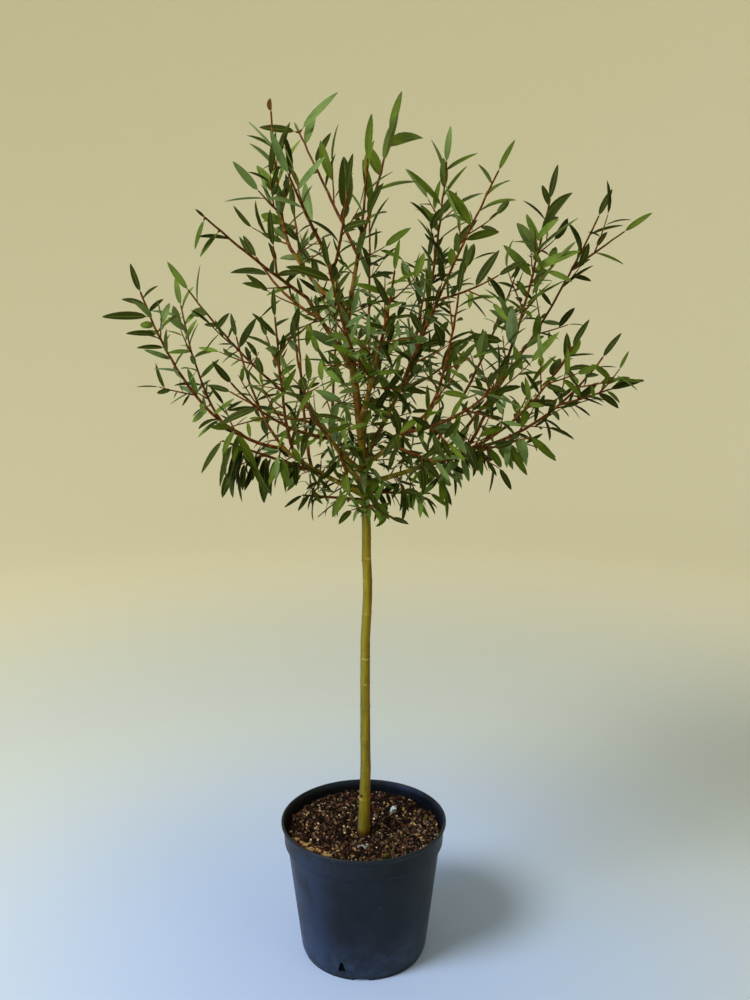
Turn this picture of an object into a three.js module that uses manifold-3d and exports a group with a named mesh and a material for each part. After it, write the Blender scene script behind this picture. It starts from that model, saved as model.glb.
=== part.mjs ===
// A young willow trained as a small standard tree, growing in a round nursery pot.
// Millimetres, +Z up, +X to the viewer's right, +Y away from the viewer.
// The origin is the centre of the pot's flat underside.
import * as THREE from 'three';
import { mergeVertices } from 'three/addons/utils/BufferGeometryUtils.js';
import Module from 'manifold-3d';

const wasm = await Module();
wasm.setup();

// Sizes of the pot
const POT = {
  height: 186,
  rimRadius: 110,
  lipHeight: 4,
  collarRadius: 107,
  collarFootRadius: 105.8,
  collarHeight: 30,
  bodyTopRadius: 101.8,
  bodyFootRadius: 84.5,
  footRadius: 82,
  footHeight: 2.5,
  wall: 2.2,
  floor: 5.5,
  step: 3,
  round: 4,
  lipWidth: 3,
  lipRound: 1,
  sides: 30,
};
const SLOTS = { count: 3, first: -19, foot: 12, height: 14, wide: 11, narrow: 4, depth: 24 };
const NOTCHES = { count: 3, first: -2, width: 19, height: 4.5, depth: 16 };
const GAP = 0.3;
const SOIL = { level: 161, edgeRise: 7, shoulderRadius: 62, shoulderRise: 3, seatRadius: 13 };

// Sizes of the wood: circumradius at the foot and at the tip
const TRUNK = { foot: 6.3, tip: 3.9, swell: 2, swellLength: 0.12, flare: 0.6, flareLength: 0.02 };
const TRUNK_FACETS = { sides: 8, steps: 22 };
const BOUGH = { foot: 3.6, tip: 2.3, sides: 6, steps: 4 };
const SHOOT_SIDES = 3;
const STEM = { foot: 2.1, tip: 1.1, steps: 5 };
const FORK = { foot: 1.6, tip: 1.0, steps: 3 };
const TWIG = { foot: 1.2, tip: 0.9, steps: 1, reach: 58, spread: 0.3, shrink: 0.6 };
const TWIG_SET = { pitch: 42, sweep: 0.08, first: 0.15, last: 0.85, full: 0.25 };
const BARE_FOOT = { shoot: 0.12, twig: 0.35 };

// How much of its sweep a shoot goes outwards, and the points that mark out its space
const SWEEP_OUT = 0.4;
const SPACE_POINTS = 10;

// Sizes of a leaf, and how leaves are set along a shoot
const LEAF = { length: 49, spread: 0.26, width: 0.2, thick: 1.3, rootThick: 0.6, widest: 0.42 };
const TIP_LEAF = 38;
const LEAF_ROOT_INSET = 0.02;
const LEAF_MARKS = [0.25, LEAF.widest, 0.7, 1];
const SPACING = 20;
const PITCH = { least: 26, most: 50, tipShare: 0.2 };
const GOLDEN = THREE.MathUtils.degToRad(137.5);
const CLEAR = { space: 2.4, limb: 0.9, leaf: 4 };
const HEAD = { left: -306, right: 358, lowest: 598 };

// The trunk's line: upright and almost straight, then leaning a little left inside the head
const TRUNK_LINE = [[0, 0, SOIL.level + GAP], [2, 0, 420], [21, 0, 640], [-27, 3, 868]];

// Boughs: name, the limb it springs from, how far along that, then its tip to the right,
// to the back and above the ground, and how far it sweeps outwards before it rises
const BOUGHS = [
  ['low_left', 'trunk', 0.645, [-100, -8, 686], 0.1],
  ['low_right', 'trunk', 0.665, [128, -18, 688], 0.1],
  ['front_left', 'trunk', 0.685, [-48, -92, 724], 0.1],
  ['back_left', 'trunk', 0.66, [-62, 98, 716], 0.1],
  ['front_right', 'trunk', 0.7, [62, -88, 730], 0.1],
  ['centre_right', 'trunk', 0.71, [56, 48, 772], 0.05],
  ['back', 'trunk', 0.735, [10, 104, 782], 0.05],
  ['front', 'trunk', 0.775, [20, -64, 812], 0.05],
  ['mid_left', 'trunk', 0.88, [-64, -42, 868], 0.05],
  ['top_left', 'trunk', 0.975, [-84, 18, 922], 0.1],
  ['top_right', 'trunk', 0.955, [-4, 22, 930], 0.1],
  ['top_centre', 'trunk', 1, [-48, -26, 930], 0],
];

// Foliage masses: name, the limb that carries it, how far along that, the furthest point it
// reaches, its sweep, its short twigs, how far its leaves hang, and any forks of its stem as
// [how far along, furthest point, sweep]
const LEFT_FORKS = [[0.3, [-232, 34, 896], 0.3], [0.62, [-305, -62, 868], 0]];
const MASSES = [
  ['left_outer', 'low_left', 1, [-267, -50, 908], 0.42, 2, 0, LEFT_FORKS],
  ['left_inner', 'low_left', 0.9, [-176, 116, 850], 0.3, 2, 0, []],
  ['left_upright', 'low_left', 0.8, [-98, -104, 880], 0.35, 1, 0, [[0.55, [-212, -112, 908], 0.1]]],
  ['left_behind', 'low_left', 0.6, [-90, 136, 878], 0.35, 1, 0, []],
  ['left_under', 'low_left', 0.44, [-208, -66, 712], 0, 2, 1, []],
  ['left_foot', 'trunk', 0.635, [-100, -34, 634], 0, 2, 0.5, []],
  ['mid_left', 'mid_left', 1, [-178, -120, 962], 0.05, 1, 0, [[0.3, [-102, -92, 964], 0]]],
  ['mid_left_behind', 'mid_left', 0.7, [-150, 62, 948], 0.25, 2, 0, []],
  ['top_left', 'top_left', 1, [-112, 50, 1106], 0.42, 2, 0, [[0.3, [-152, 10, 1030], 0.1]]],
  ['top_left_behind', 'top_left', 0.7, [-96, 150, 1016], 0.25, 1, 0, []],
  ['top_centre', 'top_centre', 1, [-98, -100, 1046], 0.05, 2, 0, []],
  ['top_middle', 'top_right', 0.86, [-86, 84, 1084], 0, 1, 0, [[0.7, [-38, 92, 1118], 0]]],
  ['top_front', 'top_centre', 0.4, [-10, -124, 1020], 0.25, 1, 0, []],
  ['top_right', 'top_right', 1, [52, 50, 1116], 0.08, 2, 0, []],
  ['top_companion', 'top_right', 0.7, [10, -16, 1078], 0.2, 1, 0, []],
  ['centre_tall', 'centre_right', 1, [112, 128, 1088], 0.3, 2, 0, []],
  ['centre_leaning', 'centre_right', 0.82, [180, 4, 1052], -0.05, 2, 0, [[0.4, [188, -46, 914], 0.2]]],
  ['centre_behind', 'centre_right', 0.6, [96, 222, 960], 0.3, 1, 0, []],
  ['front_small', 'front', 1, [40, -146, 930], 0.2, 2, 0, []],
  ['front_high', 'front', 0.6, [-38, -190, 930], 0.3, 1, 0, []],
  ['front_right', 'front_right', 1, [102, -222, 906], 0.42, 2, 0, []],
  ['front_right_low', 'front_right', 0.78, [168, -196, 812], 0.3, 2, 0, []],
  ['front_right_under', 'front_right', 0.5, [104, -134, 682], -0.05, 2, 0.6, []],
  ['front_left', 'front_left', 1, [-64, -264, 852], 0.35, 2, 0, []],
  ['front_left_low', 'front_left', 0.78, [-150, -206, 806], 0.3, 2, 0, []],
  ['front_under', 'front_left', 0.5, [-14, -132, 662], -0.05, 2, 0.6, []],
  ['front_foot', 'trunk', 0.625, [22, -88, 626], 0, 2, 0.4, []],
  ['right_tall', 'low_right', 1, [238, 46, 1030], 0.22, 2, 0, []],
  ['right_outer', 'low_right', 0.9, [304, -38, 830], 0.35, 2, 0, [[0.62, [328, -62, 780], 0.1]]],
  ['right_forward', 'low_right', 0.78, [252, -104, 846], 0.3, 2, 0, []],
  ['right_far', 'low_right', 0.66, [316, 90, 1006], 0.15, 2, 0, [[0.8, [356, 40, 972], 0]]],
  ['right_behind', 'low_right', 0.5, [216, 172, 924], 0.15, 2, 0, []],
  ['right_under', 'low_right', 0.42, [236, -76, 720], 0, 2, 0.9, []],
  ['right_foot', 'trunk', 0.65, [112, -26, 632], 0, 2, 0.5, []],
  ['back_left', 'back_left', 1, [-150, 232, 846], 0.35, 1, 0, []],
  ['back_left_low', 'back_left', 0.86, [-210, 134, 764], 0.3, 1, 0, []],
  ['back_left_high', 'back_left', 0.7, [-40, 262, 902], 0.35, 1, 0, []],
  ['back_under', 'back_left', 0.45, [8, 128, 656], -0.05, 2, 0.6, []],
  ['back_far', 'back', 1, [34, 288, 862], 0.35, 1, 0, []],
  ['back_high', 'back', 0.7, [8, 176, 1010], 0.2, 1, 0, []],
  ['back_right', 'back', 0.5, [150, 222, 812], 0.35, 2, 0, []],
];

const COLOURS = {
  pot: 0x22262e,
  soil: 0x4a2e22,
  trunk: 0x7d7428,
  bough: 0x7c4a22,
  foliage: 0x2f4f22,
};

const vector = ([x, y, z]) => new THREE.Vector3(x, y, z);

// A small seeded generator of numbers between 0 and 1
function seeded(seed) {
  let state = seed * 7919 + 17;
  return () => {
    state = (state * 48271) % 2147483647;
    return state / 2147483647;
  };
}

// Solids and meshes
function solidOf(geometry) {
  const bare = geometry.clone();
  bare.deleteAttribute('normal');
  bare.deleteAttribute('uv');
  const joined = mergeVertices(bare, 1e-4);
  const mesh = new wasm.Mesh({
    numProp: 3,
    vertProperties: new Float32Array(joined.attributes.position.array),
    triVerts: new Uint32Array(joined.index.array),
  });
  return new wasm.Manifold(mesh);
}

function geometryOf(solid) {
  const mesh = solid.getMesh();
  const geometry = new THREE.BufferGeometry();
  geometry.setAttribute('position', new THREE.BufferAttribute(mesh.vertProperties, 3));
  geometry.setIndex(new THREE.BufferAttribute(mesh.triVerts, 1));
  geometry.computeVertexNormals();
  return geometry;
}

// The one closed body of a union: a filled hollow and a loose scrap fall away
function mainBody(solid) {
  return solid.decompose().reduce((best, piece) => (piece.volume() > best.volume() ? piece : best));
}

function named(name, geometry, colour, roughness) {
  const material = new THREE.MeshStandardMaterial({ color: colour, roughness, metalness: 0 });
  const mesh = new THREE.Mesh(geometry, material);
  mesh.name = name;
  return mesh;
}

// A tapering round limb along a curve, with flat ends
function limbGeometry(curve, radiusAt, sides, steps) {
  const geometry = new THREE.CylinderGeometry(1, 1, 1, sides, steps);
  const frames = curve.computeFrenetFrames(steps, false);
  const places = geometry.attributes.position;
  for (let i = 0; i < places.count; i += 1) {
    const step = Math.round((places.getY(i) + 0.5) * steps);
    const along = step / steps;
    const radius = radiusAt(along);
    const point = curve.getPointAt(along)
      .addScaledVector(frames.normals[step], places.getZ(i) * radius)
      .addScaledVector(frames.binormals[step], places.getX(i) * radius);
    places.setXYZ(i, point.x, point.y, point.z);
  }
  return geometry;
}

// A shoot sweeps outwards first and rises after: one curve from its foot, tip and sweep
function shootCurve(foot, tip, sweep) {
  const reach = tip.clone().sub(foot);
  const bend = new THREE.Vector3(
    foot.x + reach.x * (0.5 + sweep * SWEEP_OUT),
    foot.y + reach.y * (0.5 + sweep * SWEEP_OUT),
    foot.z + reach.z * (0.5 - sweep),
  );
  return new THREE.QuadraticBezierCurve3(foot, bend, tip);
}

const taper = (size) => (along) => size.foot + (size.tip - size.foot) * along;

// Distances
function segmentDistance(point, from, to) {
  const span = to.clone().sub(from);
  const along = point.clone().sub(from).dot(span) / span.lengthSq();
  const nearest = from.clone().addScaledVector(span, THREE.MathUtils.clamp(along, 0, 1));
  return { distance: nearest.distanceTo(point), along };
}

// How far a point lies outside a limb with flat ends
function limbClearance(point, limb) {
  let least = Infinity;
  const last = limb.points.length - 2;
  for (let i = 0; i <= last; i += 1) {
    const from = limb.points[i];
    const to = limb.points[i + 1];
    const { distance, along } = segmentDistance(point, from, to);
    const share = (i + THREE.MathUtils.clamp(along, 0, 1)) / (last + 1);
    let clearance = distance - limb.radiusAt(share);
    if ((i === last && along > 1) || (i === 0 && along < 0)) {
      const beyond = (along > 1 ? along - 1 : -along) * from.distanceTo(to);
      const aside = Math.sqrt(Math.max(distance * distance - beyond * beyond, 0));
      clearance = Math.hypot(Math.max(aside - limb.radiusAt(share), 0), beyond);
    }
    least = Math.min(least, clearance);
  }
  return least;
}

function lineDistance(point, points) {
  let least = Infinity;
  for (let i = 0; i + 1 < points.length; i += 1) {
    least = Math.min(least, segmentDistance(point, points[i], points[i + 1]).distance);
  }
  return least;
}

// The corners of a limb's flat foot and the middles of its edges
function footPoints(curve, radius, sides) {
  const frames = curve.computeFrenetFrames(1, false);
  const centre = curve.getPointAt(0);
  const corners = Array.from({ length: sides }, (_, i) => {
    const turn = (i * 2 * Math.PI) / sides;
    return centre.clone()
      .addScaledVector(frames.normals[0], Math.cos(turn) * radius)
      .addScaledVector(frames.binormals[0], Math.sin(turn) * radius);
  });
  const middles = corners.map((corner, i) => corner.clone().lerp(corners[(i + 1) % sides], 0.5));
  return [centre, ...corners, ...middles];
}

// Where a shoot's flat foot comes clear of the limbs, as a share of its length
function clearStart(whole, radius, sides) {
  const others = Object.values(limbs);
  const step = 0.0005;
  let start = 0;
  let least = 0;
  while (least < GAP && start < 0.5) {
    start += step;
    const foot = footPoints(new PartOfCurve(whole, start, 1), radius, sides);
    least = Math.min(...foot.flatMap((point) => others.map((limb) => limbClearance(point, limb))));
  }
  return start;
}

// The stretch of a curve between two shares of its length
class PartOfCurve extends THREE.Curve {
  constructor(whole, start, end) {
    super();
    this.whole = whole;
    this.start = start;
    this.end = end;
  }

  getPoint(along, target = new THREE.Vector3()) {
    return target.copy(this.whole.getPointAt(this.start + (this.end - this.start) * along));
  }
}

// A point on the straight facets of a shoot, where what grows on it is rooted
function onFacets(points, along) {
  const last = points.length - 1;
  const step = Math.min(Math.floor(along * last), last - 1);
  return points[step].clone().lerp(points[step + 1], along * last - step);
}

// A shoot's wood stops where the leaf at its tip begins
const beforeTipLeaf = (curve) => 1 - TIP_LEAF / curve.getLength();

// The pot: one lathed shell with drainage slots low in its wall and notches in its foot
function potSolid() {
  const stepHeight = POT.height - POT.collarHeight;
  const lipFoot = POT.height - POT.lipHeight;
  const outline = [
    [0, 0],
    [POT.footRadius, 0],
    [POT.footRadius, POT.footHeight],
    [POT.bodyFootRadius, POT.footHeight + POT.round],
    [POT.bodyTopRadius, stepHeight - POT.step],
    [POT.collarFootRadius, stepHeight],
    [POT.collarRadius, lipFoot - POT.step],
    [POT.rimRadius, lipFoot],
    [POT.rimRadius, POT.height - POT.lipRound],
    [POT.rimRadius - POT.lipRound, POT.height],
    [POT.rimRadius - POT.lipWidth, POT.height],
    [POT.collarRadius - POT.wall, lipFoot - POT.round],
    [POT.collarFootRadius - POT.wall, stepHeight],
    [POT.bodyTopRadius - POT.wall, stepHeight - POT.round],
    [POT.bodyFootRadius - POT.wall, POT.floor + POT.round],
    [POT.bodyFootRadius - POT.wall - POT.round, POT.floor],
    [0, POT.floor],
  ];
  let pot = solidOf(lathe(outline));
  for (let i = 0; i < SLOTS.count; i += 1) {
    pot = pot.subtract(solidOf(slotCutter(SLOTS.first + (360 / SLOTS.count) * i)));
  }
  for (let i = 0; i < NOTCHES.count; i += 1) {
    pot = pot.subtract(solidOf(notchCutter(NOTCHES.first + (360 / NOTCHES.count) * i)));
  }
  return pot;
}

function lathe(outline) {
  const points = outline.map(([radius, height]) => new THREE.Vector2(radius, height));
  const geometry = new THREE.LatheGeometry(points, POT.sides);
  geometry.rotateX(Math.PI / 2);
  return geometry;
}

// A slot or notch faces the viewer at 0 degrees and goes round to the right
function turned(geometry, degrees) {
  return geometry.rotateZ(THREE.MathUtils.degToRad(degrees));
}

function slotCutter(degrees) {
  const shape = new THREE.Shape([
    new THREE.Vector2(-SLOTS.wide / 2, SLOTS.foot),
    new THREE.Vector2(SLOTS.wide / 2, SLOTS.foot),
    new THREE.Vector2(SLOTS.narrow / 2, SLOTS.foot + SLOTS.height),
    new THREE.Vector2(-SLOTS.narrow / 2, SLOTS.foot + SLOTS.height),
  ]);
  const geometry = new THREE.ExtrudeGeometry(shape, { depth: SLOTS.depth, bevelEnabled: false });
  geometry.rotateX(Math.PI / 2);
  geometry.translate(0, SLOTS.depth / 2 - POT.bodyFootRadius, 0);
  return turned(geometry, degrees);
}

function notchCutter(degrees) {
  const geometry = new THREE.BoxGeometry(NOTCHES.width, NOTCHES.depth, NOTCHES.height * 2);
  geometry.translate(0, -POT.footRadius, 0);
  return turned(geometry, degrees);
}

// The soil fills the pot: it rises towards the wall, with a flat seat under the trunk
function soilGeometry() {
  const stepHeight = POT.height - POT.collarHeight;
  const inset = POT.wall + GAP;
  return lathe([
    [0, POT.floor + GAP],
    [POT.bodyFootRadius - inset - POT.round, POT.floor + GAP],
    [POT.bodyFootRadius - inset, POT.floor + GAP + POT.round],
    [POT.bodyTopRadius - inset, stepHeight - POT.round],
    [POT.collarFootRadius - inset, stepHeight + GAP],
    [POT.collarFootRadius - inset, SOIL.level + SOIL.edgeRise],
    [SOIL.shoulderRadius, SOIL.level + SOIL.shoulderRise],
    [SOIL.seatRadius, SOIL.level],
    [0, SOIL.level],
  ]);
}

// A leaf: a blade of eight faces with a ridge, widest below its middle, whose thick root
// lies inside the wood
function leafSolid(leaf) {
  const half = leaf.length * LEAF.width * 0.5;
  const widest = leaf.length * LEAF.widest;
  const corner = (along, aside, above) => leaf.root.clone()
    .addScaledVector(leaf.direction, along)
    .addScaledVector(leaf.side, aside)
    .addScaledVector(leaf.normal, above);
  const corners = [
    corner(0, 0, LEAF.rootThick * 0.5),
    corner(0, 0, -LEAF.rootThick * 0.5),
    corner(widest, half, 0),
    corner(widest, -half, 0),
    corner(widest, 0, LEAF.thick),
    corner(leaf.length, 0, 0),
  ];
  const faces = [
    0, 4, 2, 0, 3, 4, 4, 5, 2, 4, 3, 5,
    1, 2, 3, 2, 5, 3, 0, 2, 1, 0, 1, 3,
  ];
  const geometry = new THREE.BufferGeometry().setFromPoints(corners);
  geometry.setIndex(faces);
  return solidOf(geometry);
}

// Points of a leaf that have to keep to the mass's own space
function leafPoints(leaf) {
  const half = leaf.length * LEAF.width * 0.5;
  const midline = LEAF_MARKS.map((share) => (
    leaf.root.clone().addScaledVector(leaf.direction, leaf.length * share)));
  const edges = [half, -half].map((aside) => midline[1].clone().addScaledVector(leaf.side, aside));
  return { edges, midline };
}

// A direction that leaves a shoot's tangent by a pitch, turned round it by an angle
function leaving(tangent, pitch, turn) {
  const side = new THREE.Vector3(0, 0, 1).cross(tangent);
  if (side.lengthSq() < 1e-6) {
    side.set(1, 0, 0);
  }
  side.normalize();
  const up = tangent.clone().cross(side);
  return tangent.clone().multiplyScalar(Math.cos(pitch))
    .addScaledVector(side, Math.sin(pitch) * Math.cos(turn))
    .addScaledVector(up, Math.sin(pitch) * Math.sin(turn));
}

function makeLeaf(root, tangent, direction, length) {
  const side = tangent.clone().cross(direction);
  if (side.lengthSq() < 1e-4) {
    side.set(0, 0, 1).cross(direction);
  }
  side.normalize();
  return { root, direction, side, normal: direction.clone().cross(side), length };
}

// Limbs and stems in place
const limbs = {};

function addLimb(name, curve, radiusAt, sides, steps) {
  limbs[name] = { name, curve, radiusAt, sides, steps, points: curve.getSpacedPoints(steps) };
}

function placeTrunk() {
  const curve = new THREE.CubicBezierCurve3(...TRUNK_LINE.map(vector));
  const radiusAt = (along) => TRUNK.foot + (TRUNK.tip - TRUNK.foot) * along ** 3
    + TRUNK.swell * Math.exp(-along / TRUNK.swellLength)
    + TRUNK.flare * Math.exp(-along / TRUNK.flareLength);
  addLimb('trunk', curve, radiusAt, TRUNK_FACETS.sides, TRUNK_FACETS.steps);
}

function placeBoughs() {
  BOUGHS.forEach(([name, parent, at, tip, sweep]) => {
    const whole = shootCurve(limbs[parent].curve.getPoint(at), vector(tip), sweep);
    const start = clearStart(whole, BOUGH.foot, BOUGH.sides);
    addLimb(name, new PartOfCurve(whole, start, 1), taper(BOUGH), BOUGH.sides, BOUGH.steps);
  });
}

const makeShoot = (curve, size, twigs) => (
  { curve, size, twigs, points: curve.getSpacedPoints(size.steps) });

// The stem and forks of every mass, which mark out the masses' spaces
function placeStems() {
  return MASSES.map(([name, parent, at, tip, sweep, twigs, hang, forks]) => {
    const whole = shootCurve(limbs[parent].curve.getPoint(at), vector(tip), sweep);
    const start = clearStart(whole, STEM.foot, SHOOT_SIDES);
    const stem = makeShoot(new PartOfCurve(whole, start, beforeTipLeaf(whole)), STEM, twigs);
    const shoots = [stem];
    forks.forEach(([share, forkTip, forkSweep]) => {
      const fork = shootCurve(onFacets(stem.points, share), vector(forkTip), forkSweep);
      shoots.push(makeShoot(new PartOfCurve(fork, 0, beforeTipLeaf(fork)), FORK, 1));
    });
    const lines = shoots.map((shoot) => shoot.curve.getSpacedPoints(SPACE_POINTS));
    return { name, hang, shoots, lines };
  });
}

// A mass: its stem, forks and seeded twigs, and the leaves along them
class Mass {
  constructor(plan, others, seed) {
    this.plan = plan;
    this.others = others;
    this.random = seeded(seed);
    this.pieces = [];
    this.leafMarks = [];
  }

  keepsClear(point) {
    const own = Math.min(...this.plan.lines.map((line) => lineDistance(point, line)));
    const beside = this.others.every((line) => lineDistance(point, line) > own + CLEAR.space);
    const inHead = point.x > HEAD.left && point.x < HEAD.right && point.z > HEAD.lowest;
    return inHead && beside
      && Object.values(limbs).every((limb) => limbClearance(point, limb) > CLEAR.limb);
  }

  addShoot(shoot) {
    const { curve, size } = shoot;
    this.pieces.push(solidOf(limbGeometry(curve, taper(size), SHOOT_SIDES, size.steps)));
  }

  addLeaf(leaf) {
    const { edges, midline } = leafPoints(leaf);
    const outer = midline.slice(1);
    const crowded = this.leafMarks.some((mark) => (
      outer.some((point) => point.distanceTo(mark) < CLEAR.leaf)));
    if (crowded || ![...edges, ...midline].every((point) => this.keepsClear(point))) {
      return;
    }
    this.leafMarks.push(...outer);
    this.pieces.push(leafSolid(leaf));
  }

  leavesAlong(shoot, from) {
    const { curve, points } = shoot;
    const count = Math.max(2, Math.round((curve.getLength() * (1 - from)) / SPACING));
    const phase = this.random() * Math.PI * 2;
    for (let i = 0; i <= count; i += 1) {
      const along = from + (1 - from) * (i / count);
      const atTip = i === count;
      const pitch = THREE.MathUtils.degToRad(
        PITCH.least + (PITCH.most - PITCH.least) * this.random());
      const size = LEAF.length * (1 + LEAF.spread * (2 * this.random() - 1));
      const tangent = curve.getTangentAt(along);
      const direction = leaving(tangent, atTip ? pitch * PITCH.tipShare : pitch, phase + GOLDEN * i);
      direction.z -= this.plan.hang;
      direction.normalize();
      const root = onFacets(points, atTip ? 1 - LEAF_ROOT_INSET : along);
      this.addLeaf(makeLeaf(root, tangent, direction, atTip ? TIP_LEAF : size));
    }
  }

  twigsAlong(shoot) {
    const { curve, points, twigs: count } = shoot;
    const phase = this.random() * Math.PI * 2;
    for (let i = 0; i < count; i += 1) {
      const along = TWIG_SET.first
        + (TWIG_SET.last - TWIG_SET.first) * ((i + this.random()) / count);
      const turn = phase + GOLDEN * i;
      const length = TWIG.reach * (1 + TWIG.spread * (2 * this.random() - 1))
        * (1 - TWIG.shrink * (along - TWIG_SET.full));
      const foot = onFacets(points, along);
      const direction = leaving(
        curve.getTangentAt(along), THREE.MathUtils.degToRad(TWIG_SET.pitch), turn);
      const tip = foot.clone().addScaledVector(direction, length);
      const twig = makeShoot(shootCurve(foot, tip, TWIG_SET.sweep), TWIG, 0);
      const inside = twig.curve.getPoints(4).slice(1).every((point) => this.keepsClear(point));
      if (inside) {
        this.addShoot(twig);
        this.leavesAlong(twig, BARE_FOOT.twig);
      }
    }
  }

  solid() {
    this.plan.shoots.forEach((shoot) => {
      this.addShoot(shoot);
      this.leavesAlong(shoot, BARE_FOOT.shoot);
    });
    this.plan.shoots.forEach((shoot) => this.twigsAlong(shoot));
    return mainBody(this.pieces.reduce((whole, piece) => whole.add(piece)));
  }
}

// The whole plant in its pot
const plant = new THREE.Group();
placeTrunk();
placeBoughs();
const plans = placeStems();

plant.add(named('pot', geometryOf(potSolid()), COLOURS.pot, 0.45));
plant.add(named('soil', soilGeometry(), COLOURS.soil, 0.95));
Object.values(limbs).forEach((limb) => {
  const isTrunk = limb.name === 'trunk';
  const geometry = limbGeometry(limb.curve, limb.radiusAt, limb.sides, limb.steps);
  const name = isTrunk ? 'trunk' : `bough_${limb.name}`;
  plant.add(named(name, geometry, isTrunk ? COLOURS.trunk : COLOURS.bough, 0.6));
});
plans.forEach((plan, order) => {
  const others = plans.filter((other) => other !== plan).flatMap((other) => other.lines);
  const mass = new Mass(plan, others, order + 1);
  plant.add(named(`foliage_${plan.name}`, geometryOf(mass.solid()), COLOURS.foliage, 0.55));
});

export default plant;
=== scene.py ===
# The looks of a young standard willow in its nursery pot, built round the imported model.
# Growth is worked out in millimetres by the source's rule, and every mesh is made in metres.
import math

import bmesh
import bpy
import numpy as np
from mathutils import Matrix, Vector, noise


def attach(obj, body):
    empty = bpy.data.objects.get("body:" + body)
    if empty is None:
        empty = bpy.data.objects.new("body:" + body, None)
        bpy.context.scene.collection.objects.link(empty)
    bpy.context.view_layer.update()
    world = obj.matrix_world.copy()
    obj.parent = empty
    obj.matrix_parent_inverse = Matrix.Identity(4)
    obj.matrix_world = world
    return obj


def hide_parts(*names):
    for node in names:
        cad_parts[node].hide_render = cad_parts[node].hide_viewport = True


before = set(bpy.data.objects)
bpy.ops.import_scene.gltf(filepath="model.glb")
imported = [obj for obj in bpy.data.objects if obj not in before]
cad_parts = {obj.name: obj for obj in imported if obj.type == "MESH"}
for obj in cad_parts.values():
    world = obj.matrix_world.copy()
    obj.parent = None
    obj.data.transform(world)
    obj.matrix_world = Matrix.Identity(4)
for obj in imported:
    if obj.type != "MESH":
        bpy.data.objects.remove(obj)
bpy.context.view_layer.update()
MM = 0.001

# Sizes of the pot and the soil, as the source has them
POT_HEIGHT = 186
RIM_RADIUS = 110
LIP_HEIGHT = 4
LIP_WIDTH = 3
COLLAR_RADIUS = 107
COLLAR_FOOT_RADIUS = 105.8
COLLAR_FOOT = POT_HEIGHT - 30
BODY_TOP_RADIUS = 101.8
BODY_FOOT_RADIUS = 84.5
FOOT_RADIUS = 82
FOOT_HEIGHT = 2.5
FOOT_RECESS = 1.2
POT_WALL = 2.2
POT_FLOOR = 5.5
POT_STEP = 3
POT_ROUND = 4
POT_SIDES = 180
SLOTS = {"count": 3, "first": -19, "foot": 12, "top": 26, "wide": 11, "narrow": 4, "depth": 24}
NOTCHES = {"count": 3, "first": -2, "foot": -3, "top": 4.5, "wide": 19, "narrow": 19, "depth": 16}
GAP = 0.3
SOIL_LEVEL = 161
SOIL_RINGS = 64
SOIL_RISE = {"radii": [13, 62, 103], "heights": [0, 3, 7]}
SOIL_HEAP = {"right": -25, "back": 72, "height": 4.5, "spread": 3200}

# Lumps in the soil: grain, layer of noise, height, and the radius where they are full
SOIL_LUMPS = [(0.028, 3, 4.5, 45), (0.12, 9, 2.4, 14), (0.36, 5, 1.2, 14)]

# Sizes of the wood, with its radius at the foot and at the tip, and how twigs and spurs are set
TRUNK = {"foot": 6.2, "tip": 3.8, "swell": 2, "swell_length": 0.12, "flare": 0.8, "flare_length": 0.02}
TRUNK_FULLNESS = 1.2
BOUGH = {"foot": 3.4, "tip": 2.2, "collar": 0.45, "collar_length": 9}
STEM = {"foot": 2.2, "tip": 1.1}
FORK = {"foot": 1.6, "tip": 0.9}
TWIG = {"foot": 1.1, "tip": 0.6, "reach": 50, "spread": 0.35, "shrink": 0.6}
TWIG_SET = {"pitch": 40, "sweep": 0.08, "first": 0.03, "last": 0.82, "full": 0.25, "every": 30}
SPUR = {"foot": 1.05, "tip": 0.6, "least": 12, "most": 46, "shorter": 1.5, "every": 9.5, "sweep": 0.1}
SPUR_SET = {"least": 45, "most": 80, "lowest": 622, "drooping": 760, "droop": 0.75, "hang": 0.5}
SWEEP_OUT = 0.4
STEM_START = 0.004
STEM_BURIED = 0.7
SHORTEST_FORK = 0.03
SCARS = {"width": 0.9, "swell_width": 2.2, "fade": 20}
NODE_STEPS = {"first": 0.4, "first_more": 0.5, "least": 0.65, "more": 0.7, "bare_tip": 3}

# How each wood is drawn: the step between its points, the space between its nodes, how far it
# wavers and swells there, its age from foot to tip, and its sides, relief and grain
WOOD = {
    "trunk": (1.5, 34, 0, 0.045, (1, 1), 40, 0.0006, 260.0),
    "bough": (1.6, 22, 0.5, 0.07, (1, 1), 20, 0.0003, 420.0),
    "shoot": (3, 11, 0.5, 0.07, (0.9, 0.1), 8, 0.0001, 900.0),
    "twig": (4, 9, 0.3, 0.07, (0.35, 0), 5, 0.00006, 900.0),
}

# How finely lines are followed, and the first seeds of what grows or lies by chance
SAMPLES = {"trunk": 201, "shoot": 97, "part": 61, "limb": 22, "mass": 10}
SEEDS = {"tints": 500, "spurs": 700, "trunk": 901, "boughs": 920, "masses": 40, "twigs": 10,
         "chips": 40, "strewn": 7, "bits": 60, "stubs": 80}

# Heights of the old leaf scars on the clear stem, and how far the stem strays to the right there
STEM_SCARS = [214, 257, 301, 344, 376, 410, 471, 514, 544, 571, 602]
STEM_STRAYS = {"heights": [161, 257, 301, 376, 436, 488, 516, 546, 580, 900],
               "right": [0, 1.3, 0, -1.8, -2.4, 0, 0.3, -0.9, 0, 0]}

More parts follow.
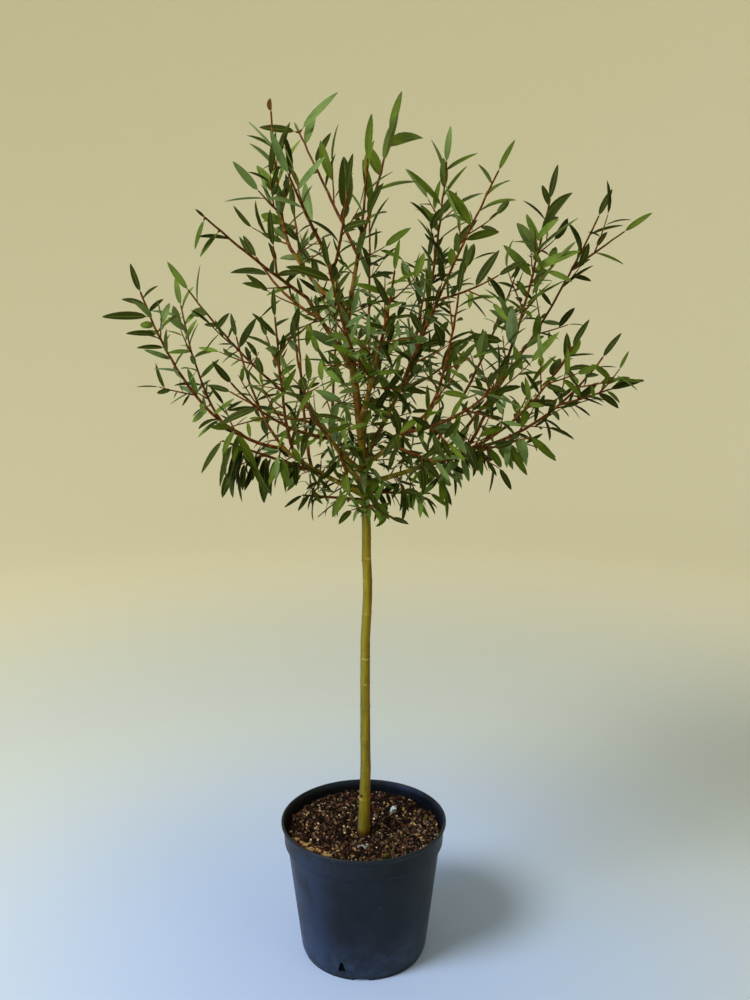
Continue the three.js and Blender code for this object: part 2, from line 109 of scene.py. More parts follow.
# Sizes of a leaf, and how leaves are set along a shoot
LEAF = {"length": 46, "spread": 0.3, "width": 0.23}
LEADING_LEAF = {"length": 0.98, "bend": 0.3, "least": 0.25, "more": 0.3}
LEAF_SIZES = {"foot": 0.68, "tip": 1.1, "twig": 0.76, "spur": 0.68}
TIP_LEAF = 42
SHORT_TIPS = {"top_middle": 16, "mid_left": 14}
SPACING = {"shoot": 12.5, "twig": 9.5, "spur": 7}
SPACING_OUT = 1.3
TIPWARD = {"top_middle": 0.8, "top_right": 0.9, "top_companion": 0.9, "top_centre": 1, "top_left": 1,
           "centre_tall": 1, "centre_leaning": 1, "right_tall": 1, "left_outer": 0.9, "left_upright": 0.9}
BARE_FOOT = {"shoot": 0.04, "twig": 0.15, "spur": 0.25}
PITCH = {"least": 24, "most": 56, "tip_share": 0.25, "low_least": 16, "low_most": 26}
OPEN_BELOW = {"from": 1020, "full": 760}
DROOP = {"below": 770, "full": 680, "hang": 0.9, "longer": 0.25}
GOLDEN = math.radians(137.5)
CLEAR = {"space": -9, "limb": 0.8, "leaf": 2.6}
HEAD = {"left": -312, "right": 364, "lowest": 596}
LEAF_CHECKS = np.array([[0.25], [0.42], [0.7], [1.0]])
TWIG_CHECKS = np.array([0.5, 0.75, 1.0])
LEAVES_A_SPRAY = 6

# How a blade turns to the sky and the light, rolls, bends back and sways, and how it is shaped
LIGHTWARD = np.array([-0.4, -0.85, 0.35])
TURN = {"own": 0.7, "leading": 0.15, "sky": 0.7, "light": 0.6, "roll": 1.7, "back": 26, "least": 3,
        "sway": 26, "sag": 1.6}
BLADE = {"least": 0.7, "plump": 0.6, "foot": 0.55, "tip": 0.75, "full": 2.4245, "petiole": 0.4,
         "point": 0.03}
LEAF_STEPS = {
    "large": np.array([0, 0.045, 0.13, 0.26, 0.42, 0.58, 0.74, 0.88, 0.965, 1.0]),
    "small": np.array([0, 0.05, 0.17, 0.38, 0.62, 0.84, 1.0]),
}
BUD = {"out": 0.9, "lean": 0.35, "least": 2.2, "more": 1.6}

# Leaf tints dealt out by spray: name, share of the sprays, upper face, underside
TINTS = [
    ("deep", 0.46, "#272e02", "#4c591e"),
    ("green", 0.31, "#4b5e12", "#6a7c3a"),
    ("fresh", 0.06, "#62782c", "#7c9050"),
    ("grey", 0.17, "#647c44", "#849a6a"),
]
WITHERED = {"mass": "top_left", "length": 16, "width": 7, "bare": 34, "fold": 0.9, "thickness": 0.9,
            "upper": "#6a4a18", "under": "#785826"}

# The trunk's line: upright and almost straight, then leaning a little left inside the head
TRUNK_LINE = [[0, 0, SOIL_LEVEL + GAP], [2, 0, 420], [21, 0, 640], [-27, 3, 868]]

# Boughs: name, how far along the trunk, the tip, the sweep, how thick the side twigs stand
BOUGHS = [
    ("low_left", 0.645, [-100, -8, 686], 0.1, 1.1),
    ("low_right", 0.665, [128, -18, 688], 0.1, 1.45),
    ("front_left", 0.685, [-48, -92, 724], 0.1, 0.5),
    ("back_left", 0.66, [-62, 98, 716], 0.1, 0.4),
    ("front_right", 0.7, [62, -88, 730], 0.1, 0.5),
    ("centre_right", 0.71, [56, 48, 772], 0.05, 0.95),
    ("back", 0.735, [10, 104, 782], 0.05, 0.4),
    ("front", 0.775, [20, -64, 812], 0.05, 1),
    ("mid_left", 0.88, [-64, -42, 868], 0.05, 0.3),
    ("top_left", 0.975, [-84, 18, 922], 0.1, 0.25),
    ("top_right", 0.955, [-4, 22, 930], 0.1, 0.7),
    ("top_centre", 1, [-48, -26, 930], 0, 0.5),
]

# Foliage masses: name, the limb that carries it, how far along that, the furthest point it
# reaches, its sweep, how far its leaves hang, how large they are, how close they stand, and how
# thick the side twigs stand
MASSES = [
    ("left_outer", "low_left", 1, [-267, -50, 908], 0.42, 0, 0.82, 1.35, 0.45),
    ("left_inner", "low_left", 0.9, [-176, 116, 850], 0.3, 0, 0.84, 0.95, 0.5),
    ("left_upright", "low_left", 0.8, [-98, -104, 880], 0.35, 0, 0.8, 1, 0.4),
    ("left_behind", "low_left", 0.6, [-90, 136, 878], 0.35, 0, 0.86, 0.65, 0.3),
    ("left_under", "low_left", 0.44, [-208, -66, 718], 0, 1.6, 1.12, 2.3, 1),
    ("left_foot", "trunk", 0.635, [-100, -34, 634], 0, 0.7, 0.66, 0.95, 1),
    ("mid_left", "mid_left", 1, [-178, -120, 962], 0.05, 0, 0.95, 0.45, 0.25),
    ("mid_left_behind", "mid_left", 0.7, [-150, 62, 948], 0.25, 0, 0.92, 0.45, 0.25),
    ("top_left", "top_left", 1, [-112, 50, 1106], 0.42, 0, 1.25, 1.15, 0.5),
    ("top_left_behind", "top_left", 0.7, [-96, 150, 1016], 0.25, 0, 1, 1, 0.5),
    ("top_centre", "top_centre", 1, [-98, -100, 1046], 0.05, 0, 1.25, 0.6, 0.3),
    ("top_middle", "top_right", 0.86, [-86, 84, 1084], 0, 0, 1.35, 0.5, 0.2),
    ("top_front", "top_centre", 0.4, [-10, -124, 1020], 0.25, 0, 1.05, 0.6, 0.25),
    ("top_right", "top_right", 1, [46, 50, 1116], 0.08, 0, 1.3, 0.65, 0.25),
    ("top_companion", "top_right", 0.7, [10, -16, 1078], 0.2, 0, 1.2, 0.6, 0.35),
    ("centre_tall", "centre_right", 1, [112, 128, 1088], 0.3, 0, 1.15, 1.1, 1.1),
    ("centre_leaning", "centre_right", 0.82, [180, 4, 1052], -0.05, 0, 0.95, 0.7, 0.6),
    ("centre_behind", "centre_right", 0.6, [96, 222, 960], 0.3, 0, 0.92, 1, 1.3),
    ("front_small", "front", 1, [40, -146, 930], 0.2, 0, 0.88, 1, 1.2),
    ("front_high", "front", 0.6, [-38, -190, 930], 0.3, 0, 0.84, 1, 0.6),
    ("front_right", "front_right", 1, [102, -222, 906], 0.42, 0, 0.84, 1, 0.7),
    ("front_right_low", "front_right", 0.78, [168, -196, 812], 0.3, 0, 0.84, 1, 1.1),
    ("front_right_under", "front_right", 0.5, [104, -134, 682], -0.05, 0.7, 0.74, 1.6, 1),
    ("front_left", "front_left", 1, [-64, -264, 852], 0.35, 0, 0.82, 0.35, 0.3),
    ("front_left_low", "front_left", 0.78, [-150, -206, 806], 0.3, 0, 0.82, 0.3, 0.3),
    ("front_under", "front_left", 0.5, [-14, -132, 662], -0.05, 0.7, 0.7, 0.55, 0.5),
    ("front_foot", "trunk", 0.625, [22, -88, 626], 0, 0.6, 0.64, 2.4, 1),
    ("right_tall", "low_right", 1, [238, 46, 1030], 0.22, 0, 1.05, 1.4, 1.45),
    ("right_outer", "low_right", 0.9, [304, -38, 830], 0.35, 0, 0.86, 1.05, 1.1),
    ("right_forward", "low_right", 0.78, [252, -104, 846], 0.3, 0, 0.85, 1.15, 1.7),
    ("right_far", "low_right", 0.66, [316, 90, 1006], 0.15, 0, 0.96, 0.6, 0.5),
    ("right_behind", "low_right", 0.5, [216, 172, 924], 0.15, 0, 0.88, 0.8, 0.6),
    ("right_under", "low_right", 0.42, [236, -76, 720], 0, 1.1, 1, 1.15, 1.2),
    ("right_foot", "trunk", 0.65, [112, -26, 632], 0, 0.7, 0.7, 2, 1),
    ("back_left", "back_left", 1, [-150, 232, 846], 0.35, 0, 0.88, 0.8, 0.4),
    ("back_left_low", "back_left", 0.86, [-210, 134, 764], 0.3, 0, 0.88, 0.4, 0.3),
    ("back_left_high", "back_left", 0.7, [-40, 262, 902], 0.35, 0, 0.9, 0.75, 0.5),
    ("back_under", "back_left", 0.45, [8, 128, 656], -0.05, 0.6, 0.84, 0.6, 1),
    ("back_far", "back", 1, [34, 288, 862], 0.35, 0, 0.9, 1.1, 1.1),
    ("back_high", "back", 0.7, [8, 176, 1010], 0.2, 0, 0.94, 0.75, 0.5),
    ("back_right", "back", 0.5, [150, 222, 812], 0.35, 0, 0.9, 0.6, 0.4),
]

FOLIAGE_NODES = ["foliage_" + name for name, *_ in MASSES]

# Forks of a mass's stem: how far along, the furthest point, the sweep, how close the leaves stand
# and the length of the tip leaf, where a fork with none but its tip leaf has 0
FORKS = {
    "left_outer": [
        (0.3, [-232, 34, 896], 0.3, 1, 38), (0.885, [-301, -62, 848], 0, 0, 54),
        (0.8, [-272, -62, 829], 0, 0, 38), (0.735, [-255, -60, 812], 0, 0, 36)],
    "left_upright": [(0.55, [-212, -112, 908], 0.1, 0.7, 38)],
    "mid_left": [
        (0.3, [-102, -92, 964], 0, 0.7, 42), (1, [-181, -120, 919], 0, 0, 34),
        (0.86, [-176, -120, 912], 0, 0, 36)],
    "top_left": [(0.3, [-152, 10, 1030], 0.1, 1, 46)],
    "top_middle": [
        (0.72, [-41, 84, 1074], 0, 0, 50), (1, [-131, 84, 1079], 0, 0, 48),
        (1, [-31, 84, 1122], 0, 0, 66)],
    "centre_leaning": [(0.4, [188, -46, 914], 0.2, 1, 40)],
    "right_outer": [(0.62, [328, -62, 780], 0.1, 1, 42)],
    "right_far": [(0.8, [356, 40, 972], 0, 0.7, 40)],
}

# Chips: name, two tones, length, width and thickness, count per square metre, the sizes between
# which they vary, and how flat they lie
CHIPS = [
    ("dark_chips", "#0c0705", "#2a1c14", (7.5, 5.0, 3.4), 17000, 0.5, 1.3, 0.3),
    ("bark_chips", "#2e1e14", "#62462f", (6.0, 4.0, 2.6), 14000, 0.45, 1.35, 0.3),
    ("red_chips", "#2c1412", "#5e372c", (5.4, 3.6, 2.4), 10000, 0.45, 1.35, 0.3),
    ("grey_chips", "#4e4234", "#80705c", (5.4, 3.6, 2.2), 9000, 0.45, 1.3, 0.3),
    ("tan_flakes", "#7a6038", "#b4965e", (4.6, 2.8, 1.4), 7000, 0.4, 1.35, 0.4),
    ("pale_grains", "#cdbd8c", "#f4e9c2", (3.2, 2.6, 2.2), 7000, 0.35, 1.2, 0.2),
    ("coir_threads", "#6a4c2c", "#94744a", (13.0, 0.9, 0.8), 1700, 0.4, 1.2, 0.8),
]

# Larger bits in place: name, tones, roughness, then right, back, length, width, thickness, turn
BITS = [
    ("pale_stone", "#90aaa6", "#c6d8d2", 0.7, [(40, 54, 9, 8, 7.5, 20), (38, 52, 6, 5, 5, 70)]),
    ("straw_stick", "#8c7448", "#b59c68", 0.8, [
        (72.5, 20, 50, 1.5, 1.3, -70), (30, 12, 26, 0.9, 0.8, -55), (22, 20, 22, 0.8, 0.8, 60)]),
    ("tan_bark", "#4e3620", "#b49660", 0.85, [
        (72, -13, 8, 6, 3, 40), (-88, -24, 9, 6, 4, -60), (-82, -33, 12, 6, 4, -50),
        (-75, -41, 10, 7, 4, -30), (-67, -49, 13, 7, 4, -45), (-58, -55, 10, 6, 5, -20),
        (-50, -62, 11, 8, 5, -35), (-44, -66, 7, 5, 4, 10), (-72, -34, 8, 4, 3, 20),
        (76, -22, 8, 5, 3, 80)]),
    ("red_bark", "#2c0a08", "#561c16", 0.8, [
        (-84, -40, 10, 5, 4, -45), (-76, -50, 12, 5, 4, -40), (-66, -58, 11, 5, 4, -30),
        (-60, -47, 9, 5, 3, -50), (-52, -54, 8, 4, 3, 0)]),
    ("ash_crumbs", "#6c6f6a", "#a2a59e", 0.9, [
        (-5, -38, 6, 4, 4, 15), (2, -40, 5, 4, 3, 70), (-1, -35, 5, 3, 3, 120), (5, -37, 4, 3, 3, 40)]),
    ("moss_crumbs", "#33320f", "#5a5424", 0.95, [
        (30, -62, 9, 6, 3, 20), (38, -58, 8, 5, 3, 60), (22, -68, 7, 5, 3, 0), (84, 24, 9, 6, 3, 70)]),
]

# How chips are made and strewn, and how the larger bits lie
CHIP = {"least": 0.35, "more": 0.8}
STREW = {"inner": 7.5, "inset": 2.5, "rings": 14, "sides": 72, "lift": 0.0006}
BIT = {"raised": 1.2, "thick": 0.3}

# Old bud stubs on the clear stem: height, turn round the stem from the front, and size
STUBS = [(219, -38, 5.2), (541, -85, 2.6), (569, 80, 2.8), (430, 40, 2.0), (301, 65, 2.2)]

STUB = {"sunk": 0.15, "width": 0.7, "thick": 0.75}

# The floor's flat part, and how far and high it curves beyond
FLOOR = {"flat": 2400, "reach": 2600, "rise": 3200, "sides": 96}

# The camera, as the photograph shows the pot and the head
CAMERA = {"place": (0.0151, -1.247, 0.867), "pitch": 11.24, "lens": 36.43}


def tone(code, share=1.0):
    """A colour such as #2c4a1e, or a share of its light, as linear red, green, blue and alpha."""
    parts = [int(code[i:i + 2], 16) / 255 for i in (1, 3, 5)]
    linear = [c / 12.92 if c <= 0.04045 else ((c + 0.055) / 1.055) ** 2.4 for c in parts]
    return (*(c * share for c in linear), 1.0)


def seeded(seed):
    """The source's small generator of numbers between 0 and 1."""
    state = seed * 7919 + 17

    def draw():
        nonlocal state
        state = state * 48271 % 2147483647
        return state / 2147483647

    return draw


def unit(vector):
    return vector / max(np.linalg.norm(vector), 1e-9)


def between(low, high, share):
    return low + (high - low) * share


def share_below(height, start, full):
    """0 above the starting height, 1 below the full one, and in between by height."""
    return min(max((start - height) / (start - full), 0), 1)


# Lines and growth

class Line:
    """A line through points, followed by arc length."""

    def __init__(self, points):
        self.points = np.asarray(points, float)
        steps = np.linalg.norm(np.diff(self.points, axis=0), axis=1)
        self.run = np.concatenate(([0.0], np.cumsum(steps)))
        self.length = self.run[-1]

    def at(self, share):
        place = np.clip(share, 0, 1) * self.length
        return np.stack([np.interp(place, self.run, self.points[:, k]) for k in range(3)], -1)

    def tangent(self, share):
        return unit(self.at(min(share + 0.01, 1)) - self.at(max(share - 0.01, 0)))

    def part(self, start, end):
        return Line(self.at(np.linspace(start, end, SAMPLES["part"])))

    def share_at(self, height):
        return np.interp(height, self.points[:, 2], self.run) / self.length


def shoot_line(foot, tip, sweep):
    """A shoot sweeps outwards first and rises after."""
    foot, tip = np.asarray(foot, float), np.asarray(tip, float)
    out = 0.5 + sweep * SWEEP_OUT
    bend = foot + (tip - foot) * np.array([out, out, 0.5 - sweep])
    t = np.linspace(0, 1, SAMPLES["shoot"])[:, None]
    return Line((1 - t) ** 2 * foot + 2 * t * (1 - t) * bend + t ** 2 * tip)


def trunk_point(t):
    t = np.asarray(t, float)[..., None]
    a, b, c, d = (np.array(p, float) for p in TRUNK_LINE)
    return (1 - t) ** 3 * a + 3 * t * (1 - t) ** 2 * b + 3 * t ** 2 * (1 - t) * c + t ** 3 * d


def trunk_radius(share):
    return (between(TRUNK["foot"], TRUNK["tip"], share ** 3)
            + TRUNK["swell"] * np.exp(-share / TRUNK["swell_length"])
            + TRUNK["flare"] * np.exp(-share / TRUNK["flare_length"]))


def tapering(size):
    return lambda share: between(size["foot"], size["tip"], share)


def distances(points, starts, ends):
    """The distance of each point from each straight stretch."""
    span = ends - starts
    along = np.einsum("psk,sk->ps", points[:, None] - starts, span) / (span ** 2).sum(-1)
    nearest = starts + np.clip(along, 0, 1)[..., None] * span
    return np.linalg.norm(points[:, None] - nearest, axis=-1)


def clear_share(line, parent, radius_at, own_radius):
    """Where a shoot comes out of the limb that carries it, as a share of its length."""
    low, high = 0.0, 0.5
    for _ in range(12):
        middle = (low + high) / 2
        point = line.at(middle)[None]
        gaps = distances(point, parent.points[:-1], parent.points[1:])[0]
        nearest = gaps.argmin()
        inside = gaps[nearest] < radius_at(nearest / len(gaps)) + own_radius * STEM_BURIED
        low, high = (middle, high) if inside else (low, middle)
    return high


LIMBS = {}


def place_limbs():
    """The trunk and the boughs: each a line with its radius along it."""
    trunk = Line(trunk_point(np.linspace(0, 1, SAMPLES["trunk"])))
    LIMBS["trunk"] = {"line": trunk, "radius": trunk_radius, "full": TRUNK_FULLNESS}
    for name, at, tip, sweep, full in BOUGHS:
        whole = shoot_line(trunk_point(at), tip, sweep)
        start = clear_share(whole, trunk, trunk_radius, BOUGH["foot"])
        LIMBS[name] = {"line": whole.part(start, 1), "radius": tapering(BOUGH), "root": whole,
                       "full": full}


def place_stems():
    """The stem and forks of every mass, which mark out the masses' spaces."""
    plans = []
    for order, (name, parent, at, tip, sweep, hang, size, close, full) in enumerate(MASSES):
        limb = LIMBS[parent]
        foot = trunk_point(at) if parent == "trunk" else limb["line"].at(at)
        whole = shoot_line(foot, tip, sweep)
        start = STEM_START
        if at < 1:
            start = clear_share(whole, limb["line"], limb["radius"], STEM["foot"])
        withered = name == WITHERED["mass"]
        tip_leaf = WITHERED["length"] if withered else SHORT_TIPS.get(name, TIP_LEAF * size)
        stem = whole.part(start, 1 - tip_leaf / whole.length)
        shoots = [{"line": stem, "size": STEM, "rank": "shoot", "root": whole.part(0, start),
                   "withered": withered, "tip_leaf": tip_leaf}]
        for share, fork_tip, fork_sweep, fork_close, fork_leaf in FORKS.get(name, []):
            fork = shoot_line(stem.at(share), fork_tip, fork_sweep)
            fork = fork.part(0, max(1 - fork_leaf / fork.length, SHORTEST_FORK))
            shoots.append({"line": fork, "size": FORK, "rank": "shoot", "close": fork_close,
                           "tip_leaf": fork_leaf})
        plans.append({"hang": hang, "size": size, "close": close, "full": full, "shoots": shoots,
                      "outwards": TIPWARD.get(name, SPACING_OUT), "seed": order + 1})
    return plans


def leaving(tangent, pitch, turn):
    """A direction that leaves a shoot's tangent by a pitch, turned round it by an angle."""
    side = np.cross([0, 0, 1.0], tangent)
    side = unit(side) if np.linalg.norm(side) > 1e-3 else np.array([1.0, 0, 0])
    up = np.cross(tangent, side)
    return (tangent * math.cos(pitch) + side * math.sin(pitch) * math.cos(turn)
            + up * math.sin(pitch) * math.sin(turn))


class Growth:
    """What grows by the seeded rule: twigs, spurs and the leaves along them."""

    def __init__(self, plan, own, others, limbs):
        self.plan = plan
        self.own = own
        self.others = others
        self.limbs = limbs
        self.random = seeded(plan["seed"])
        self.tint_draw = seeded(plan["seed"] + SEEDS["tints"])
        self.leaves = []
        self.twigs = []
        self.marks = np.zeros((0, 3))

    def keeps_clear(self, points):
        starts, ends, radii = self.limbs
        off_limbs = (distances(points, starts, ends) - radii).min(axis=1) > CLEAR["limb"]
        kept = (off_limbs & (points[:, 0] > HEAD["left"]) & (points[:, 0] < HEAD["right"])
                & (points[:, 2] > HEAD["lowest"]))
        if self.others is not None:
            own = distances(points, *self.own).min(axis=1)
            kept &= distances(points, *self.others).min(axis=1) > own + CLEAR["space"]
        return bool(kept.all())

    def add_leaf(self, leaf):
        middle = leaf["root"] + leaf["direction"] * leaf["length"] * LEAF_CHECKS
        outer = middle[1:]
        if len(self.marks):
            gaps = np.linalg.norm(self.marks[:, None] - outer, axis=-1)
            if gaps.min() < CLEAR["leaf"]:
                return
        if self.keeps_clear(middle):
            self.marks = np.concatenate((self.marks, outer))
            self.leaves.append(leaf)

    def varied(self, spread):
        return 1 + spread * (2 * self.random() - 1)

    def leaf_length(self, rank, along):
        size = LEAF["length"] * self.varied(LEAF["spread"]) * self.plan["size"]
        return size * between(LEAF_SIZES["foot"], LEAF_SIZES["tip"], along) * LEAF_SIZES.get(rank, 1)

    def deal_tint(self):
        draw = self.tint_draw()
        for order, (_, share, _, _) in enumerate(TINTS):
            draw -= share
            if draw < 0:
                return order
        return 0

    def leaves_along(self, shoot):
        line, rank = shoot["line"], shoot["rank"]
        withered = shoot.get("withered")
        bare = BARE_FOOT[rank]
        close = self.plan["close"] * shoot.get("close", 1)
        count = max(2, round(line.length * (1 - bare) * close / SPACING[rank]))
        outwards = self.plan["outwards"] if rank == "shoot" else 1
        phase = self.random() * math.tau
        tint = self.deal_tint()
        for i in range(0 if close else count, count + 1):
            along = bare + (1 - bare) * (i / count) ** outwards
            at_tip = i == count
            if withered and not at_tip and along * line.length > line.length - WITHERED["bare"]:
                continue
            if i and i % LEAVES_A_SPRAY == 0:
                tint = self.deal_tint()
            root = line.at(along)
            opened = share_below(root[2], OPEN_BELOW["from"], OPEN_BELOW["full"])
            least = PITCH["least"] + PITCH["low_least"] * opened
            most = PITCH["most"] + PITCH["low_most"] * opened
            pitch = math.radians(between(least, most, self.random()))
            length = self.leaf_length(rank, along)
            tangent = line.tangent(along)
            leads = at_tip and rank == "shoot"
            pitch *= 0 if leads else PITCH["tip_share"] if at_tip else 1
            direction = leaving(tangent, pitch, phase + GOLDEN * i)
            direction[2] -= self.plan["hang"]
            if rank == "shoot" and not self.plan["hang"]:
                droop = share_below(root[2], DROOP["below"], DROOP["full"])
                direction[2] -= DROOP["hang"] * droop
                length *= 1 + DROOP["longer"] * droop
            draw = [self.random() for _ in range(4)]
            if leads:
                length = shoot["tip_leaf"] * LEADING_LEAF["length"]
                tint = len(TINTS) if withered else tint
                draw = [LEADING_LEAF["bend"] * draw[0], 0.5, 0.5,
                        LEADING_LEAF["least"] + LEADING_LEAF["more"] * draw[3]]
            self.add_leaf({"root": root, "tangent": tangent, "direction": unit(direction),
                           "rank": rank, "length": length, "tint": tint, "draw": draw,
                           "own_turn": TURN["leading" if leads else "own"]})

    def add_twig(self, foot, direction, length, size, rank, sweep):
        line = shoot_line(foot, foot + direction * length, sweep)
        if self.keeps_clear(line.at(TWIG_CHECKS)):
            twig = {"line": line, "size": size, "rank": rank}
            self.twigs.append(twig)
            self.leaves_along(twig)

    def twigs_along(self, line):
        count = round(line.length / (TWIG_SET["every"] / self.plan["full"]))
        phase = self.random() * math.tau
        for i in range(count):
            along = between(TWIG_SET["first"], TWIG_SET["last"], (i + self.random()) / count)
            length = TWIG["reach"] * self.varied(TWIG["spread"]) * (
                1 - TWIG["shrink"] * (along - TWIG_SET["full"]))
            direction = leaving(
                line.tangent(along), math.radians(TWIG_SET["pitch"]), phase + GOLDEN * i)
            self.add_twig(line.at(along), direction, length, TWIG, "twig", TWIG_SET["sweep"])

    def spurs_along(self, line):
        """Short leafy spurs all round a limb, drooping low down in the head."""
        count = round(line.length / SPUR["every"] * self.plan["full"])
        for i in range(count):
            along = (i + self.random()) / count
            foot = line.at(along)
            pitch = between(SPUR_SET["least"], SPUR_SET["most"], self.random())
            length = between(SPUR["least"], SPUR["most"], self.random() ** SPUR["shorter"])
            low = share_below(foot[2], SPUR_SET["drooping"], SPUR_SET["lowest"])
            direction = leaving(line.tangent(along), math.radians(pitch), GOLDEN * i)
            direction[2] -= SPUR_SET["droop"] * low * self.random()
            self.plan["hang"] = SPUR_SET["hang"] * low
            if foot[2] > SPUR_SET["lowest"]:
                self.add_twig(foot, unit(direction), length, SPUR, "spur", SPUR["sweep"])

    def grow(self):
        for shoot in self.plan["shoots"]:
            self.leaves_along(shoot)
        for shoot in self.plan["shoots"]:
            self.twigs_along(shoot["line"])


def stretches(lines, steps):
    """The straight stretches of several lines, as starting and end points."""
    points = [line.at(np.linspace(0, 1, steps + 1)) for line in lines]
    return np.concatenate([p[:-1] for p in points]), np.concatenate([p[1:] for p in points])


def grow_head():
    """Every mass, and then the spurs of the trunk and the boughs."""
    plans = place_stems()
    shares = np.linspace(0, 1, SAMPLES["limb"])
    radii = np.concatenate([limb["radius"](shares) for limb in LIMBS.values()])
    limbs = (*stretches([limb["line"] for limb in LIMBS.values()], SAMPLES["limb"]), radii)
    grown = []
    for plan in plans:
        own = stretches([shoot["line"] for shoot in plan["shoots"]], SAMPLES["mass"])
        others = stretches([shoot["line"] for other in plans if other is not plan
                            for shoot in other["shoots"]], SAMPLES["mass"])
        mass = Growth(plan, own, others, limbs)
        mass.grow()
        grown.append(mass)
    for order, limb in enumerate(LIMBS.values()):
        plan = {"hang": 0, "size": 1, "close": 1, "full": limb["full"], "shoots": [],
                "seed": SEEDS["spurs"] + order}
        spurs = Growth(plan, None, None, limbs)
        spurs.spurs_along(limb["line"])
        grown.append(spurs)
    return grown


# Node trees

class Nodes:
    """A short way to write a node tree: each call adds a node, feeds it and gives its output."""

    def __init__(self, tree):
        self.tree = tree

    def outs(self, kind, values=None, **settings):
        node = self.tree.nodes.new(kind)
        for key, value in settings.items():
            setattr(node, key, value)
        for key, value in (values or {}).items():
            if isinstance(value, bpy.types.NodeSocket):
                self.tree.links.new(value, node.inputs[key])
            else:
                node.inputs[key].default_value = value
        return node.outputs

    def add(self, kind, values=None, **settings):
        return self.outs(kind, values, **settings)[0]

    def give(self, *values):
        self.outs("NodeGroupOutput", dict(enumerate(values)))
        return self.tree

    def math(self, operation, *values):
        return self.add("ShaderNodeMath", dict(enumerate(values)), operation=operation)

    def times(self, first, second, plus=0.0):
        return self.math("MULTIPLY_ADD", first, second, plus)

    def axis(self, vector, name):
        return self.outs("ShaderNodeSeparateXYZ", {0: vector})[name]

    def ramp(self, value, low, high, kind="SMOOTHSTEP"):
        return self.add("ShaderNodeMapRange", {"Value": value, "From Min": low, "From Max": high},
                        interpolation_type=kind)

    def mix(self, mask, first, second):
        return self.outs("ShaderNodeMix", {0: mask, 6: first, 7: second}, data_type="RGBA")[2]

    def step(self, kind, geometry, **values):
        """The next step on some geometry."""
        return self.add("GeometryNode" + kind, {"Geometry": geometry, **values})

    def named(self, name, kind="FLOAT"):
        return self.add("GeometryNodeInputNamedAttribute", {"Name": name}, data_type=kind)

    def store(self, geometry, name, value, **settings):
        return self.add("GeometryNodeStoreNamedAttribute", {
            "Geometry": geometry, "Name": name, "Value": value}, **settings)

    def shape(self, piece):
        return self.outs("GeometryNodeObjectInfo", {"Object": piece})["Geometry"]


SOCKETS = {int: "Int", float: "Float", tuple: "Color"}


def group_tree(name, kind, inputs, **outputs):
    """A node group whose inputs have a default or the name of a kind: its nodes and its inputs."""
    tree = bpy.data.node_groups.new(name, kind + "NodeTree")
    for label, value in inputs.items():
        socket = value if isinstance(value, str) else SOCKETS[type(value)]
        made = tree.interface.new_socket(label, in_out="INPUT", socket_type="NodeSocket" + socket)
        if socket is not value:
            made.default_value = value
    for label, socket in outputs.items():
        tree.interface.new_socket(label, in_out="OUTPUT", socket_type="NodeSocket" + socket)
    nodes = Nodes(tree)
    return nodes, nodes.outs("NodeGroupInput")


def round_wood_tree():
    """Round wood along lines: a tube of the radius on the line, with bark relief."""
    n, given = group_tree("round_wood", "Geometry", {
        "Lines": "Geometry", "Sides": 12, "Relief": 0.0002, "Grain": 400.0, "Bark": "Material"},
        Wood="Geometry")
    curve = n.add("GeometryNodeMeshToCurve", {"Mesh": given["Lines"]})
    ring = n.add("GeometryNodeCurvePrimitiveCircle", {"Resolution": given["Sides"], "Radius": 1.0})
    tube = n.add("GeometryNodeCurveToMesh", {
        "Curve": curve, "Profile Curve": ring, "Scale": n.named("radius"), "Fill Caps": True})
    place = n.add("ShaderNodeVectorMath", {
        0: n.add("GeometryNodeInputPosition"), 1: (1, 1, 0.22)}, operation="MULTIPLY")
    grain = n.add("ShaderNodeTexNoise", {"Vector": place, "Scale": given["Grain"], "Detail": 3.0})
    depth = n.times(n.math("SUBTRACT", grain, 0.5), given["Relief"])
    shift = n.add("ShaderNodeVectorMath", {
        0: n.add("GeometryNodeInputNormal"), "Scale": depth}, operation="SCALE")
    smooth = n.step("SetShadeSmooth", n.step("SetPosition", tube, Offset=shift))
    return n.give(n.step("SetMaterial", n.step("RealizeInstances", smooth), Material=given["Bark"]))


